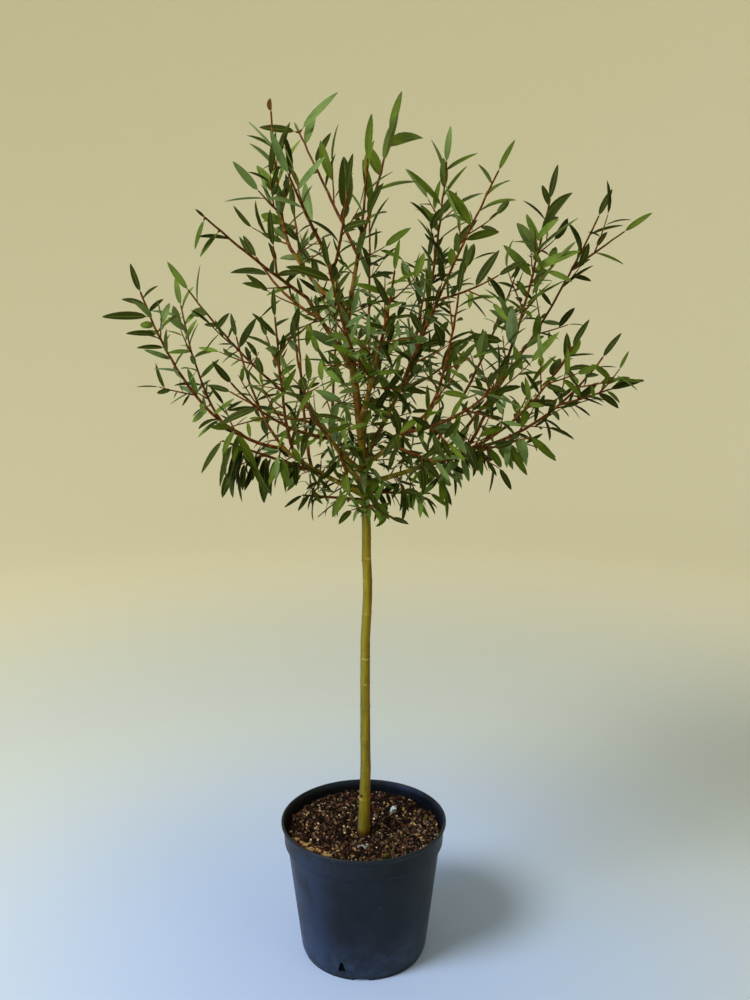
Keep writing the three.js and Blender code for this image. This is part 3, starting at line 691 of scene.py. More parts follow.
def leaf_blade_tree():
    """Leaf blades along midribs: a thin folded section of the half width on the line."""
    n, given = group_tree("leaf_blade", "Geometry", {
        "Midribs": "Geometry", "Fold": 0.3, "Thickness": 0.09, "Upper": "Material",
        "Under": "Material"}, Leaves="Geometry")
    facing = n.named("facing", "FLOAT_VECTOR")
    curve = n.add("GeometryNodeMeshToCurve", {"Mesh": given["Midribs"]})
    turned = n.add("GeometryNodeSetCurveNormal", {"Curve": curve, "Normal": facing}, mode="FREE")
    marked = n.store(turned, "along", n.outs("GeometryNodeSplineParameter")["Factor"])
    # The section: both edges raised by the fold, the midrib between them, the keel below
    section = n.add("GeometryNodeCurvePrimitiveQuadrilateral", {
        "Point 1": n.add("ShaderNodeCombineXYZ", {"X": given["Fold"], "Y": -1.0}),
        "Point 2": (0, 0, 0),
        "Point 3": n.add("ShaderNodeCombineXYZ", {"X": given["Fold"], "Y": 1.0}),
        "Point 4": n.add("ShaderNodeCombineXYZ", {"X": n.times(given["Thickness"], -1.0)})},
        mode="POINTS")
    profile = n.store(section, "across", n.axis(n.add("GeometryNodeInputPosition"), "Y"))
    blade = n.add("GeometryNodeCurveToMesh", {
        "Curve": marked, "Profile Curve": profile, "Scale": n.named("radius"), "Fill Caps": True})
    whole = n.step("MergeByDistance", n.step("RealizeInstances", blade), Distance=0.00001)
    sharp = n.add("FunctionNodeCompare", {
        "A": n.add("GeometryNodeInputMeshEdgeAngle"), "B": 0.6}, operation="GREATER_THAN")
    creased = n.store(whole, "sharp_edge", sharp, data_type="BOOLEAN", domain="EDGE")
    unwrap = n.add("ShaderNodeCombineXYZ", {
        "X": n.named("along"), "Y": n.times(n.named("across"), 0.5, 0.5)})
    mapped = n.store(n.step("SetShadeSmooth", creased), "UVMap", unwrap, data_type="FLOAT2",
                     domain="CORNER")
    above = n.outs("ShaderNodeVectorMath", {
        0: n.add("GeometryNodeInputNormal"), 1: facing}, operation="DOT_PRODUCT")["Value"]
    below = n.add("FunctionNodeCompare", {"A": above, "B": 0.0}, operation="LESS_THAN")
    upper = n.step("SetMaterial", mapped, Material=given["Upper"])
    return n.give(n.step("SetMaterial", upper, Selection=below, Material=given["Under"]))


def scatter_tree():
    """Small things strewn over a surface: one shape, turned and sized at random by a seed."""
    n, given = group_tree("strewn_over", "Geometry", {
        "Surface": "Geometry", "Shape": "Object", "Density": 1000.0, "Smallest": 0.5, "Largest": 1.0,
        "Lift": 0.0, "Lying": 0.7, "Seed": 1, "Finish": "Material"}, Strewn="Geometry")
    spread = n.outs("GeometryNodeDistributePointsOnFaces", {
        "Mesh": given["Surface"], "Density": given["Density"], "Seed": given["Seed"]})
    turn = n.add("FunctionNodeRandomValue", {
        "Min": (-math.pi,) * 3, "Max": (math.pi,) * 3, "Seed": given["Seed"]},
        data_type="FLOAT_VECTOR")
    lying = n.add("FunctionNodeAlignRotationToVector", {
        "Rotation": n.add("FunctionNodeEulerToRotation", {0: turn}), "Factor": given["Lying"],
        "Vector": spread["Normal"]}, axis="Z")
    size = n.outs("FunctionNodeRandomValue", {
        2: given["Smallest"], 3: given["Largest"], "Seed": given["Seed"]}, data_type="FLOAT")[1]
    placed = n.add("GeometryNodeInstanceOnPoints", {
        "Points": spread["Points"], "Instance": n.shape(given["Shape"]), "Rotation": lying,
        "Scale": size})
    raised = n.step("SetPosition", n.step("RealizeInstances", placed),
                    Offset=n.add("ShaderNodeCombineXYZ", {"Z": given["Lift"]}))
    return n.give(n.step("SetMaterial", raised, Material=given["Finish"]))


def set_on_tree():
    """One shape set at each point, its length along the aim on the point, by the point's size."""
    n, given = group_tree("set_on_points", "Geometry", {
        "Points": "Geometry", "Shape": "Object", "Finish": "Material"}, Set="Geometry")
    turn = n.add("FunctionNodeAxesToRotation", {
        "Primary Axis": n.named("aim", "FLOAT_VECTOR"),
        "Secondary Axis": n.named("facing", "FLOAT_VECTOR")}, primary_axis="Z", secondary_axis="X")
    placed = n.add("GeometryNodeInstanceOnPoints", {
        "Points": n.add("GeometryNodeMeshToPoints", {"Mesh": given["Points"]}),
        "Instance": n.shape(given["Shape"]), "Rotation": turn, "Scale": n.named("size")})
    smooth = n.step("SetShadeSmooth", n.step("RealizeInstances", placed))
    return n.give(n.step("SetMaterial", smooth, Material=given["Finish"]))


# Shader groups and materials

def mottle_group():
    """Two colours mixed in soft patches."""
    n, given = group_tree("mottle", "Shader", {
        "Vector": "Vector", "First": (1, 1, 1, 1), "Second": (0, 0, 0, 1), "Scale": 10.0,
        "Detail": 4.0, "From": 0.35, "To": 0.65}, Colour="Color", Mask="Float")
    cloud = n.add("ShaderNodeTexNoise", {
        "Vector": given["Vector"], "Scale": given["Scale"], "Detail": given["Detail"],
        "Roughness": 0.6})
    mask = n.ramp(cloud, given["From"], given["To"])
    return n.give(n.mix(mask, given["First"], given["Second"]), mask)


def leaf_marks_group():
    """The midrib, side veins and rim of a leaf, from its own map along and across the blade."""
    n, given = group_tree("leaf_marks", "Shader", {
        "Map": "Vector", "Rib Width": 0.09, "Veins": 17.0, "Slant": -1.6},
        Rib="Float", Vein="Float", Rim="Float")
    aside = n.math("ABSOLUTE", n.times(n.axis(given["Map"], "Y"), 2.0, -1.0))
    slant = n.times(aside, given["Slant"])
    run = n.times(n.axis(given["Map"], "X"), given["Veins"], slant)
    wave = n.math("SINE", n.times(run, math.tau))
    return n.give(n.ramp(aside, given["Rib Width"], 0.02), n.ramp(wave, 0.55, 1.0, "LINEAR"),
                  n.ramp(aside, 0.8, 1.0, "LINEAR"))


def grit_group():
    """A fine relief height with small pits."""
    n, given = group_tree("grit", "Shader", {"Vector": "Vector", "Scale": 500.0, "Pits": 0.3},
                          Height="Float")
    place = {"Vector": given["Vector"], "Scale": given["Scale"]}
    cells = n.outs("ShaderNodeTexVoronoi", place)["Distance"]
    return n.give(n.times(cells, given["Pits"], n.add("ShaderNodeTexNoise", {**place, "Detail": 5.0})))


GROUPS = {"mottle": mottle_group(), "leaf_marks": leaf_marks_group(), "grit": grit_group()}


class Finish(Nodes):
    """A material: its Principled shader, Object coordinates, and the shared groups."""

    def __init__(self, name, gloss, rough=0.5):
        self.material = bpy.data.materials.new(name)
        self.material.use_nodes = True
        super().__init__(self.material.node_tree)
        self.shader = self.tree.nodes["Principled BSDF"].inputs
        self.shader["Specular IOR Level"].default_value = gloss
        self.shader["Roughness"].default_value = rough
        given = self.outs("ShaderNodeTexCoord")
        self.place, self.facing = given["Object"], given["Normal"]

    def group(self, name, values):
        return self.outs("ShaderNodeGroup", values, node_tree=GROUPS[name])

    def drawn_out(self, tall):
        """The place with every pattern on it drawn out upwards, for a value under 1."""
        if tall == 1:
            return self.place
        return self.add("ShaderNodeMapping", {"Vector": self.place, "Scale": (1, 1, tall)})

    def mottle(self, first, second, scale, low=0.35, high=0.65, detail=4.0, tall=1):
        return self.group("mottle", {
            "Vector": self.drawn_out(tall), "First": tone(first), "Second": tone(second),
            "Scale": scale, "From": low, "To": high, "Detail": detail})

    def patches(self, scale, low, high, detail=4.0, tall=1):
        return self.mottle("#000000", "#ffffff", scale, low, high, detail, tall)["Mask"]

    def grit(self, scale, pits, tall=1):
        return self.group("grit", {
            "Vector": self.drawn_out(tall), "Scale": scale, "Pits": pits})["Height"]

    def tinted(self, colour, code, mask, share=1.0):
        """A colour with a share of another laid over it where the mask is."""
        return self.mix(self.times(mask, share), colour, tone(code))

    def done(self, colour, rough=None, height=None, depth=0.001, strength=1.0):
        self.tree.links.new(colour, self.shader["Base Color"])
        if rough is not None:
            self.tree.links.new(rough, self.shader["Roughness"])
        if height is not None:
            bump = self.add("ShaderNodeBump", {
                "Height": height, "Distance": depth, "Strength": strength})
            self.tree.links.new(bump, self.shader["Normal"])
        return self.material


def pot_finish():
    """Blue-black moulded plastic with scuffs and flow lines, dust and a painted floor reflection low
    down, a painted blue reflection on the left, and painted shade inside.
    """
    f = Finish("pot_plastic", 0.15)
    height = f.axis(f.place, "Z")
    streaks = f.mottle("#171b21", "#212931", 54.0, 0.4, 0.8, tall=2 / 9)
    colour = f.mix(0.35, f.mottle("#15191f", "#1f262f", 11.0)["Colour"], streaks["Colour"])
    # Paler and bluer low down: partly dust, partly a painted reflection of the floor's blue
    low = f.times(f.ramp(height, 0.075, 0.015), f.ramp(height, 0.004, 0.009))
    colour = f.tinted(colour, "#3c4d66", low, f.times(f.patches(60.0, 0.35, 0.75), 0.4, 0.15))
    # Painted blue reflection, in patches, on the side facing left
    leftwards = f.ramp(f.axis(f.facing, "X"), -0.2, -0.8)
    painted_left_sheen = f.times(f.patches(24.0, 0.38, 0.62), leftwards)
    colour = f.tinted(colour, "#2a3a58", painted_left_sheen, 0.45)
    # Painted shade: the inner wall above the soil darkened almost to black
    flat = f.add("ShaderNodeVectorMath", {0: f.place, 1: (1, 1, 0)}, operation="MULTIPLY")
    reach = f.outs("ShaderNodeVectorMath", {0: flat}, operation="LENGTH")["Value"]
    inside = f.times(f.ramp(reach, 0.1062, 0.1052), f.ramp(height, 0.1555, 0.1575))
    colour = f.tinted(colour, "#06080c", inside, 0.8)
    colour = f.tinted(colour, "#56647a", f.patches(140.0, 0.62, 0.72, 6.0, 0.35), 0.1)
    return f.done(colour, f.times(streaks["Mask"], 0.12, 0.38), f.grit(900.0, 0.4), 0.00012, 0.5)


def bark_finish():
    """Smooth young bark: olive on the clear stem, orange-brown in the head and on its sunny side, with
    painted shade on its left side and a dark foot partly of painted shade.
    """
    f = Finish("stem_bark", 0.08)
    height = f.axis(f.place, "Z")
    sideways = f.axis(f.facing, "X")
    clear = f.mottle("#8a7c1c", "#5e5614", 160.0, 0.35, 0.7, tall=0.12)["Colour"]
    clear = f.tinted(clear, "#6e6822", f.patches(45.0, 0.45, 0.7, tall=0.3), 0.5)
    clear = f.tinted(clear, "#6e4a10", f.ramp(sideways, 0.3, 1.0), 0.75)
    # Painted shade: the side facing left greyed and darkened
    clear = f.tinted(clear, "#5a5a3a", f.ramp(sideways, -0.4, -1.0), 0.6)
    head = f.mottle("#7c5e1c", "#4e3812", 120.0, 0.35, 0.7, tall=0.12)["Colour"]
    head = f.tinted(head, "#6e3414", f.patches(38.0, 0.5, 0.68, tall=0.3), 0.7)
    colour = f.mix(f.ramp(height, 0.63, 0.74), clear, head)
    # The lowest part of the stem darkened to red-brown: partly the bark's own colour, partly painted
    # shade where it meets the soil
    colour = f.tinted(colour, "#3c150a", f.ramp(height, 0.176, 0.164), 0.9)
    specks = f.patches(330.0, 0.64, 0.7, 2.0, 0.6)
    colour = f.tinted(colour, "#352808", specks, 0.6)
    broken = f.times(f.patches(75.0, 0.5, 0.56, 2.0, 0.5), 0.75, 0.1)
    band = f.outs("ShaderNodeAttribute", attribute_name="band")["Fac"]
    colour = f.tinted(colour, "#b8a662", band, broken)
    return f.done(colour, f.times(specks, 0.2, 0.48), f.grit(700.0, 0.3, 0.12), 0.0003, 0.6)


def shoot_finish():
    """Red-brown shoots, greener and brighter towards their tips."""
    f = Finish("shoot_bark", 0.06)
    age = f.outs("ShaderNodeAttribute", attribute_name="age")["Fac"]
    band = f.outs("ShaderNodeAttribute", attribute_name="band")["Fac"]
    old = f.mottle("#481e06", "#5c340c", 90.0)["Colour"]
    young = f.mottle("#521a06", "#5e3e0e", 120.0)["Colour"]
    colour = f.tinted(f.mix(age, young, old), "#a07838", band, 0.35)
    relief = f.grit(1200.0, 0.3)
    return f.done(colour, f.times(relief, 0.1, 0.4), relief, 0.0002, 0.5)


def leaf_finish(name, code, rib_code, rough, vein_share):
    """A leaf face: its tint in soft patches of painted shade, a paler midrib, faint side veins and a fine
    rim.
    """
    f = Finish(name, 0.05)
    marks = f.group("leaf_marks", {"Map": f.add("ShaderNodeUVMap", uv_map="UVMap")})
    # Soft patches of painted shade: the tint mixed with a copy at 60% of its light
    colour = f.mix(f.patches(42.0, 0.3, 0.75), tone(code), tone(code, 0.6))
    for mark, share in (("Vein", vein_share), ("Rib", 0.35), ("Rim", 0.12)):
        colour = f.tinted(colour, rib_code, marks[mark], share)
    height = f.math("SUBTRACT", f.times(marks["Vein"], -0.5), marks["Rib"])
    return f.done(colour, f.times(marks["Vein"], 0.08, rough), height, 0.00012, 0.6)


def crumb_finish(name, first, second, rough, scale=220.0, deep=None):
    """Chips, flecks and grains: two tones in small patches over a rough face, with painted shade low down
    when a deep tone is given.
    """
    f = Finish(name, 0.12)
    colour = f.mottle(first, second, scale, 0.3, 0.7)["Colour"]
    # Painted shade: darker towards the deep tone below 150 mm, fully below 80 mm
    if deep:
        colour = f.tinted(colour, deep, f.ramp(f.axis(f.place, "Z"), 0.15, 0.08))
    relief = f.grit(900.0, 0.6)
    return f.done(colour, f.times(relief, 0.1, rough), relief, 0.0005, 0.8)


# Pieces

def finished(piece, slot, *nodes):
    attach(piece, "root")
    if nodes:
        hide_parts(*nodes)


def new_piece(name, mesh, finish=None):
    piece = bpy.data.objects.new(name, mesh)
    bpy.context.scene.collection.objects.link(piece)
    if finish:
        mesh.materials.append(finish)
    return piece


def plain_mesh(source):
    """The mesh that a source object's modifiers make, in place of the source."""
    ready = source.evaluated_get(bpy.context.evaluated_depsgraph_get())
    mesh = bpy.data.meshes.new_from_object(ready)
    bpy.data.objects.remove(source)
    return mesh


def shape_by_nodes(name, source, tree, values):
    """The piece that a geometry tree makes of a source mesh."""
    holder = new_piece(name + "_source", source)
    modifier = holder.modifiers.new(name, "NODES")
    modifier.node_group = tree
    sockets = {s.name: s.identifier for s in tree.interface.items_tree if s.in_out == "INPUT"}
    for label, value in values.items():
        modifier[sockets[label]] = value
    return new_piece(name, plain_mesh(holder))


def points_mesh(name, rows):
    """A mesh in metres of lines in millimetres, each with its points and the numbers on them."""
    edges, start = [], 0
    for row in rows:
        end = start + len(row["points"])
        edges += [(i, i + 1) for i in range(start, end - 1)]
        start = end
    joined = {key: np.concatenate([row[key] for row in rows]) for key in rows[0]}
    mesh = bpy.data.meshes.new(name)
    mesh.from_pydata([tuple(p) for p in joined.pop("points") * MM], edges, [])
    for label, values in joined.items():
        kind, key = ("FLOAT_VECTOR", "vector") if values.ndim == 2 else ("FLOAT", "value")
        made = mesh.attributes.new(label, kind, "POINT")
        made.data.foreach_set(key, values.astype(np.float32).ravel())
    return mesh


def mesh_of(shape, name, smooth=False):
    mesh = bpy.data.meshes.new(name)
    shape.to_mesh(mesh)
    shape.free()
    if smooth:
        mesh.shade_smooth()
    return mesh


def ring(sides, radius, height, first=0.0):
    """A level ring of points counted round from the front, or one point on the axis."""
    if not radius:
        return [(0, 0, height)]
    turns = [math.tau * i / sides + first for i in range(sides)]
    return [(radius * math.sin(t), -radius * math.cos(t), height) for t in turns]


def lofted(name, rings, closed=True, smooth=False):
    """A mesh in metres over rings of points in millimetres, with capped ends if it is closed."""
    shape = bmesh.new()
    loops = [[shape.verts.new(Vector(point) * MM) for point in points] for points in rings]
    for low, high in zip(loops, loops[1:]):
        count = max(len(low), len(high))
        for i in range(count):
            j = (i + 1) % count
            corners = [low[i % len(low)], high[i % len(high)], high[j % len(high)], low[j % len(low)]]
            shape.faces.new(list(dict.fromkeys(corners)))
    if closed:
        for end in (loops[0], loops[-1]):
            if len(end) > 1:
                shape.faces.new(end)
        bmesh.ops.recalc_face_normals(shape, faces=shape.faces)
    return mesh_of(shape, name, smooth)


def rounded(outline, radii, steps=5):
    """An outline of [radius, height] corners with the named corners rounded off."""
    points = []
    for i, corner in enumerate(outline):
        here = Vector(corner)
        if i not in radii:
            points.append(here)
            continue
        before = (Vector(outline[i - 1]) - here).normalized() * radii[i]
        after = (Vector(outline[i + 1]) - here).normalized() * radii[i]
        for t in np.linspace(0, 1, steps + 1):
            points.append(here + before * (1 - t) ** 2 + after * t ** 2)
    return points


def pot_outline():
    lip_foot = POT_HEIGHT - LIP_HEIGHT
    outline = [
        [0, FOOT_RECESS], [FOOT_RADIUS - 9, FOOT_RECESS], [FOOT_RADIUS - 6, 0], [FOOT_RADIUS, 0],
        [FOOT_RADIUS, FOOT_HEIGHT], [BODY_FOOT_RADIUS, FOOT_HEIGHT + POT_ROUND],
        [BODY_TOP_RADIUS, COLLAR_FOOT - POT_STEP], [COLLAR_FOOT_RADIUS, COLLAR_FOOT],
        [COLLAR_RADIUS, lip_foot - POT_STEP], [RIM_RADIUS, lip_foot],
        [RIM_RADIUS, POT_HEIGHT], [RIM_RADIUS - LIP_WIDTH, POT_HEIGHT],
        [COLLAR_RADIUS - POT_WALL, lip_foot - POT_ROUND],
        [COLLAR_FOOT_RADIUS - POT_WALL, COLLAR_FOOT],
        [BODY_TOP_RADIUS - POT_WALL, COLLAR_FOOT - POT_ROUND],
        [BODY_FOOT_RADIUS - POT_WALL, POT_FLOOR + POT_ROUND],
        [BODY_FOOT_RADIUS - POT_WALL - POT_ROUND, POT_FLOOR], [0, POT_FLOOR],
    ]
    return rounded(outline, {3: 0.8, 4: 0.5, 5: 3, 6: 1.4, 7: 1.4, 8: 1.4, 9: 1.2, 10: 1.4, 11: 1.3,
                             12: 2, 13: 1.4, 14: 1.4, 15: 2, 16: 2})


def make_pot():
    rings = [ring(POT_SIDES, radius, height) for radius, height in pot_outline()]
    pot = new_piece("pot_source", lofted("pot_shell", rings))
    cutters = []
    for kind, reach in ((SLOTS, BODY_FOOT_RADIUS), (NOTCHES, FOOT_RADIUS)):
        corners = [(-kind["wide"] / 2, kind["foot"]), (kind["wide"] / 2, kind["foot"]),
                   (kind["narrow"] / 2, kind["top"]), (-kind["narrow"] / 2, kind["top"])]
        for i in range(kind["count"]):
            turn = Matrix.Rotation(math.radians(kind["first"] + 360 / kind["count"] * i), 3, "Z")
            ends = [[turn @ Vector((x, y, z)) for x, z in corners]
                    for y in (-reach - kind["depth"] / 2, -reach + kind["depth"] / 2)]
            cutters.append(new_piece("cutter", lofted("cutter", ends)))
    for cutter in cutters:
        cut = pot.modifiers.new(cutter.name, "BOOLEAN")
        cut.operation = "DIFFERENCE"
        cut.solver = "EXACT"
        cut.object = cutter
    mesh = plain_mesh(pot)
    for cutter in cutters:
        bpy.data.objects.remove(cutter)
    mesh.shade_smooth()
    mesh.set_sharp_from_angle(angle=math.radians(32))
    finished(new_piece("pot_shell", mesh, pot_finish()), "pot_plastic", "pot")


def node_places(line, every, draw):
    """Where the nodes of a shoot lie along it, seeded and unevenly spaced."""
    places = []
    at = every * (NODE_STEPS["first"] + NODE_STEPS["first_more"] * draw())
    while at < line.length - NODE_STEPS["bare_tip"]:
        places.append(at)
        at += every * (NODE_STEPS["least"] + NODE_STEPS["more"] * draw())
    return places


def wood_row(kind, line, radius_at, seed, places=None):
    """Points along a limb with its radius, node scars and age, kinked a little at its nodes."""
    draw = seeded(seed)
    step, every, waver, swelling, age, *_ = WOOD[kind]
    count = max(4, int(line.length / step))
    shares = np.linspace(0, 1, count + 1)
    radius = np.array([radius_at(s) for s in shares])
    place = shares * line.length
    ends = np.minimum(1, np.minimum(place, line.length - place) / SCARS["fade"])[:, None]
    band = np.zeros(count + 1)
    kink = np.zeros((count + 1, 3))
    for at in places or node_places(line, every, draw):
        band += np.exp(-((place - at) / SCARS["width"]) ** 2)
        radius += np.exp(-((place - at) / SCARS["swell_width"]) ** 2) * radius * swelling
        turn = draw() * math.tau
        shift = np.array([math.cos(turn), math.sin(turn), 0]) * waver * (0.5 + draw())
        kink += np.clip(1 - np.abs(place - at) / every, 0, 1)[:, None] * shift * ends
    return {"points": line.at(shares) + kink, "radius": radius * MM, "band": np.clip(band, 0, 1),
            "age": between(*age, shares)}


def make_wood(name, kind, rows, material):
    *_, sides, relief, grain = WOOD[kind]
    return shape_by_nodes(name, points_mesh(name, rows), ROUND_WOOD, {
        "Sides": sides, "Relief": relief, "Grain": grain, "Bark": material})


def make_limbs():
    bark = bark_finish()
    trunk = LIMBS["trunk"]["line"]
    scars = [trunk.share_at(height) * trunk.length for height in STEM_SCARS]
    row = wood_row("trunk", trunk, trunk_radius, SEEDS["trunk"], scars)
    row["points"][:, 0] += np.interp(
        row["points"][:, 2], STEM_STRAYS["heights"], STEM_STRAYS["right"])
    finished(make_wood("trunk_bark", "trunk", [row], bark), "bark", "trunk")
    rows = []
    for order, (name, *_) in enumerate(BOUGHS):
        whole = LIMBS[name]["root"]
        emerges = whole.length - LIMBS[name]["line"].length

        def radius_at(share, whole=whole, emerges=emerges):
            beyond = max(share * whole.length - emerges, 0)
            collar = 1 + BOUGH["collar"] * math.exp(-beyond / BOUGH["collar_length"])
            return between(BOUGH["foot"], BOUGH["tip"], share) * collar

        rows.append(wood_row("bough", whole, radius_at, SEEDS["boughs"] + order))
    finished(make_wood("bough_bark", "bough", rows, bark), "bark",
             *("bough_" + name for name, *_ in BOUGHS))


def make_shoots(head):
    rows, twigs = [], []
    for mass in head:
        seed = mass.plan["seed"] * SEEDS["masses"]
        for order, shoot in enumerate(mass.plan["shoots"]):
            line = shoot["line"]
            if "root" in shoot:
                line = Line(np.concatenate((shoot["root"].points[:-1], line.points)))
            rows.append(wood_row("shoot", line, tapering(shoot["size"]), seed + order))
        for order, twig in enumerate(mass.twigs, SEEDS["twigs"]):
            twigs.append(wood_row("twig", twig["line"], tapering(twig["size"]), seed + order))
    material = shoot_finish()
    finished(make_wood("shoots", "shoot", rows, material), "bark", *FOLIAGE_NODES)
    finished(make_wood("side_twigs", "twig", twigs, material), "bark", *FOLIAGE_NODES)


def midrib(leaf):
    """A leaf's midrib: it leaves its shoot, bends back and a little aside, with its half width."""
    steps = LEAF_STEPS["large" if leaf["rank"] == "shoot" else "small"]
    bend, aside, roll, plump = leaf["draw"]
    direction = leaf["direction"]
    normal = leaf["tangent"] - direction * np.dot(leaf["tangent"], direction)
    sky = np.array([0, 0, 1.0]) - direction * direction[2]
    light = LIGHTWARD - direction * np.dot(LIGHTWARD, direction)
    normal = unit((unit(normal) + sky * TURN["sky"]) * leaf["own_turn"] + light * TURN["light"])
    side = np.cross(direction, normal)
    turn = (roll - 0.5) * TURN["roll"]
    side, normal = (side * math.cos(turn) + normal * math.sin(turn),
                    normal * math.cos(turn) - side * math.sin(turn))
    back = math.radians(TURN["least"] + TURN["back"] * bend * bend)
    sway = math.radians((aside - 0.5) * TURN["sway"])
    points = [leaf["root"]]
    for start, end in zip(steps, steps[1:]):
        middle = (start + end) / 2
        heading = unit(direction - normal * math.sin(back * middle * TURN["sag"])
                       + side * math.sin(sway * middle))
        points.append(points[-1] + heading * leaf["length"] * (end - start))
    headings = [unit(heading) for heading in np.gradient(np.array(points), axis=0)]
    facings = [unit(normal - heading * np.dot(normal, heading)) for heading in headings]
    width = leaf["length"] * LEAF["width"] * (BLADE["least"] + BLADE["plump"] * plump) * 0.5
    if leaf["tint"] == len(TINTS):
        width = WITHERED["width"] / 2
    blade = np.clip((steps - steps[1]) / (1 - steps[1]), 0, 1)
    half = width * BLADE["full"] * blade ** BLADE["foot"] * (1 - blade) ** BLADE["tip"]
    half = np.maximum(half, [BLADE["petiole"]] * 2 + [BLADE["point"]] * (len(steps) - 2))
    return {"points": points, "radius": half * MM, "facing": facings}


def make_leaves(head):
    leaves = [leaf for mass in head for leaf in mass.leaves]
    rows = [(name, upper, under) for name, _, upper, under in TINTS]
    rows.append(("withered", WITHERED["upper"], WITHERED["under"]))
    for order, (name, upper, under) in enumerate(rows):
        midribs = [midrib(leaf) for leaf in leaves if leaf["tint"] == order]
        values = {
            "Upper": leaf_finish(f"leaf_{name}_upper", upper, "#7f9440", 0.5, 0.14),
            "Under": leaf_finish(f"leaf_{name}_under", under, "#97ae74", 0.65, 0.1),
        }
        if order == len(TINTS):
            values.update({"Fold": WITHERED["fold"], "Thickness": WITHERED["thickness"]})
        name = "leaves_" + name
        piece = shape_by_nodes(name, points_mesh(name, midribs), LEAF_BLADE, values)
        finished(piece, "foliage", *FOLIAGE_NODES)


def make_buds(head):
    """A bud in the angle above each leaf of the shoots."""
    rows = []
    for leaf in (leaf for mass in head for leaf in mass.leaves if leaf["rank"] == "shoot"):
        tangent, direction = leaf["tangent"], leaf["direction"]
        out = unit(direction - tangent * np.dot(direction, tangent))
        rows.append({"points": [leaf["root"] + out * BUD["out"] + tangent],
                     "aim": [unit(tangent + out * BUD["lean"])], "facing": [out],
                     "size": [BUD["least"] + BUD["more"] * leaf["draw"][0]]})
    # A small pointed bud, a millimetre long, leaning off its shoot
    rings = [[(x + 0.1 * z, 0.8 * y, z) for x, y, z in ring(5, radius, height, math.pi / 2)]
             for height, radius in ((0, 0.16), (0.25, 0.26), (0.6, 0.19), (0.9, 0.06))]
    bud = new_piece("bud_shape", lofted("bud_shape", rings + [[(0.1, 0, 1)]]))
    brown = crumb_finish("bud_scale", "#5c3012", "#7a5c1c", 0.45, 500.0)
    piece = shape_by_nodes("buds", points_mesh("buds", rows), SET_ON, {"Shape": bud, "Finish": brown})
    bpy.data.objects.remove(bud)
    finished(piece, "bark")


def add_chip(shape, size, draw, place=(0, 0, 0), turn=0.0):
    """Adds one rough chip, a splinter with uneven corners, to a shape."""
    turned = Matrix.Rotation(turn, 3, "Z")
    for vert in bmesh.ops.create_cube(shape, size=2.0)["verts"]:
        corner = Vector([co * side * (CHIP["least"] + CHIP["more"] * draw()) * 0.5
                         for co, side in zip(vert.co, size)])
        vert.co = (turned @ corner + Vector(place)) * MM


def soil_height(x, y):
    """The soil's top over its level: lumps, a rise towards the wall and a seat by the stem."""
    radius = math.hypot(x, y)
    away = (x - SOIL_HEAP["right"]) ** 2 + (y - SOIL_HEAP["back"]) ** 2
    height = float(np.interp(radius, SOIL_RISE["radii"], SOIL_RISE["heights"]))
    height += SOIL_HEAP["height"] * math.exp(-away / SOIL_HEAP["spread"])
    for grain, layer, tall, full in SOIL_LUMPS:
        height += noise.noise(Vector((x, y, layer)) * grain) * tall * min(radius / full, 1)
    return height


def soil_rings(sides, inner, outer, steps):
    rings = [ring(sides, inner + (outer - inner) * i / steps, 0) for i in range(steps + 1)]
    return [[(x, y, SOIL_LEVEL + soil_height(x, y)) for x, y, _ in points] for points in rings]


def make_soil():
    inset = POT_WALL + GAP
    foot = BODY_FOOT_RADIUS - inset
    top = COLLAR_FOOT_RADIUS - inset
    rings = soil_rings(POT_SIDES, 0, top, SOIL_RINGS)
    for radius, height in (
            (top, COLLAR_FOOT + GAP), (BODY_TOP_RADIUS - inset, COLLAR_FOOT - POT_ROUND),
            (foot, POT_FLOOR + POT_ROUND + GAP), (foot - POT_ROUND, POT_FLOOR + GAP)):
        rings.append(ring(POT_SIDES, radius, height))
    # The last tone is painted shade, near black low in the pot where the slots show the soil
    base = crumb_finish("soil_base", "#080504", "#1c110c", 0.95, 260.0, "#030202")
    finished(new_piece("soil_bed", lofted("soil_bed", rings, smooth=True), base), "soil", "soil")


def make_stubs():
    shape = bmesh.new()
    draw = seeded(SEEDS["stubs"])
    trunk = LIMBS["trunk"]["line"]
    for height, degrees, size in STUBS:
        share = trunk.share_at(height)
        x, y, z = trunk.at(share)
        x += np.interp(height, STEM_STRAYS["heights"], STEM_STRAYS["right"])
        turn = math.radians(degrees)
        out = trunk_radius(share) - STUB["sunk"] * size
        place = (x + out * math.sin(turn), y - out * math.cos(turn), z)
        add_chip(shape, (size, size * STUB["width"], size * STUB["thick"]), draw, place, turn)
    brown = crumb_finish("stub_brown", "#2c1408", "#4e2610", 0.7, 400.0)
    finished(new_piece("bud_stubs", mesh_of(shape, "bud_stubs", smooth=True), brown), "bark")


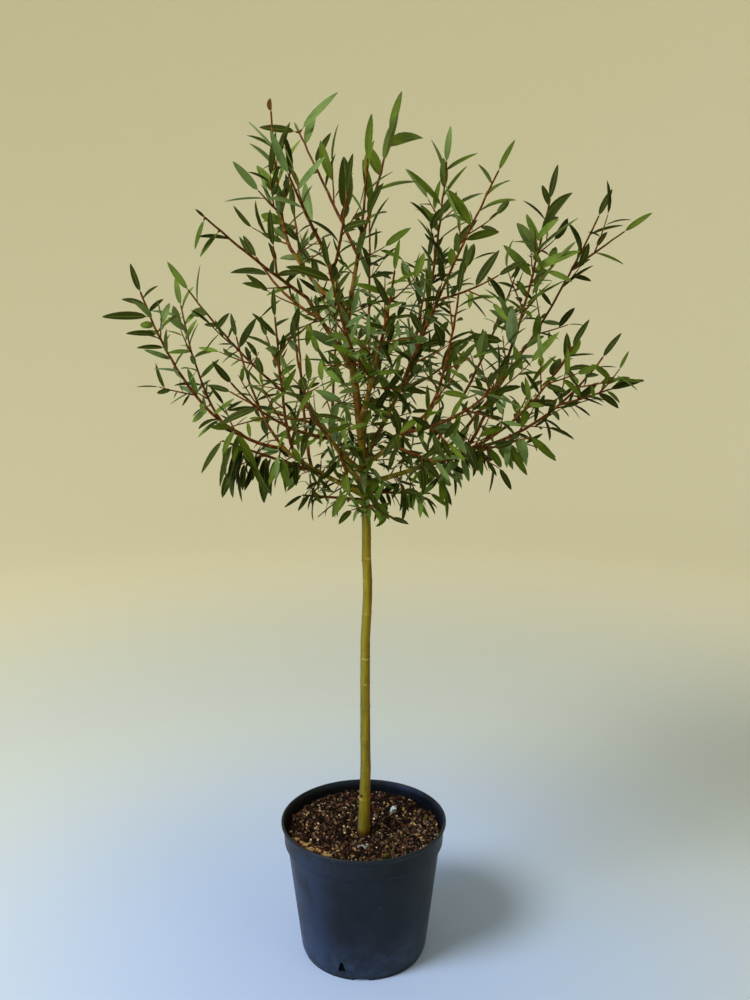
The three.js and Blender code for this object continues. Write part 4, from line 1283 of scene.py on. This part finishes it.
def make_chips():
    outer = COLLAR_FOOT_RADIUS - POT_WALL - GAP - STREW["inset"]
    rings = soil_rings(STREW["sides"], STREW["inner"], outer, STREW["rings"])
    for order, (name, first, second, size, density, least, most, lying) in enumerate(CHIPS):
        shape = bmesh.new()
        add_chip(shape, size, seeded(SEEDS["chips"] + order))
        chip = new_piece(name + "_shape", mesh_of(shape, name + "_shape"))
        top = lofted("soil_top", rings, closed=False)
        piece = shape_by_nodes(name, top, STREWN, {
            "Shape": chip, "Density": float(density), "Smallest": least, "Largest": most,
            "Lift": STREW["lift"], "Lying": lying, "Seed": SEEDS["strewn"] + order,
            "Finish": crumb_finish(name, first, second, 0.8)})
        bpy.data.objects.remove(chip)
        finished(piece, "soil")
    for order, (name, first, second, rough, places) in enumerate(BITS):
        shape = bmesh.new()
        draw = seeded(SEEDS["bits"] + order)
        for x, y, *size, turn in places:
            z = SOIL_LEVEL + soil_height(x, y) + size[2] * BIT["thick"] + BIT["raised"]
            add_chip(shape, size, draw, (x, y, z), math.radians(turn))
        finish = crumb_finish(name, first, second, rough, 300.0)
        finished(new_piece(name, mesh_of(shape, name), finish), "soil")


# The floor, the light and the camera

def make_stage():
    """A pale floor that rises to a pale wall all round."""
    outline = [(0, 0), (500, 0), (1200, 0)]
    outline += [(FLOOR["flat"] + FLOOR["reach"] * math.sin(t), FLOOR["rise"] * (1 - math.cos(t)))
                for t in np.linspace(0, math.pi / 2, 13)]
    rings = [ring(FLOOR["sides"], radius, height) for radius, height in outline]
    f = Finish("floor_pale", 0.1, 0.85)
    away = f.outs("ShaderNodeVectorMath", {0: f.place}, operation="LENGTH")["Value"]
    near = f.mix(f.ramp(away, 0.1, 0.9), tone("#adc3e4"), tone("#cdd7d2"))
    colour = f.mix(f.ramp(away, 0.8, 2.2), near, tone("#f2efd2"))
    floor = new_piece("floor", lofted("floor", rings, closed=False, smooth=True), f.done(colour))


def soft_light(name, place, aim, size, power, code, spread=180):
    light = bpy.data.lights.new(name, "AREA")
    light.shape = "DISK"
    light.size = size
    light.energy = power
    light.spread = math.radians(spread)
    light.color = tone(code)[:3]
    lamp = bpy.data.objects.new(name, light)
    lamp.location = place
    lamp.rotation_euler = (Vector(aim) - Vector(place)).to_track_quat("-Z", "Y").to_euler()
    bpy.context.scene.collection.objects.link(lamp)


def make_light():
    world = bpy.data.worlds.new("sky")
    bpy.context.scene.world = world
    world.use_nodes = True
    background = world.node_tree.nodes["Background"]
    background.inputs["Color"].default_value = tone("#f4f0e2")
    background.inputs["Strength"].default_value = 0.44
    soft_light("window", (-1.7, -1.3, 2.6), (0, 0, 0.7), 1.2, 86, "#fffaf0")
    soft_light("low_window", (-1.9, -0.9, 0.75), (0, 0, 0.12), 1.1, 6.2, "#7fa8ff", 90)
    soft_light("fill", (2.2, -1.8, 1.6), (0, 0, 0.6), 1.6, 7, "#fff1dc")
    bpy.context.scene.view_settings.view_transform = "Standard"


def make_camera():
    lens = bpy.data.cameras.new("camera")
    lens.lens = CAMERA["lens"]
    camera = bpy.data.objects.new("camera", lens)
    camera.location = CAMERA["place"]
    camera.rotation_euler = (math.radians(90 - CAMERA["pitch"]), 0, 0)
    bpy.context.scene.collection.objects.link(camera)
    bpy.context.scene.camera = camera


ROUND_WOOD = round_wood_tree()
LEAF_BLADE = leaf_blade_tree()
STREWN = scatter_tree()
SET_ON = set_on_tree()

make_camera()
make_light()
make_stage()
place_limbs()
head = grow_head()
make_pot()
make_soil()
make_chips()
make_limbs()
make_stubs()
make_shoots(head)
make_leaves(head)
make_buds(head)
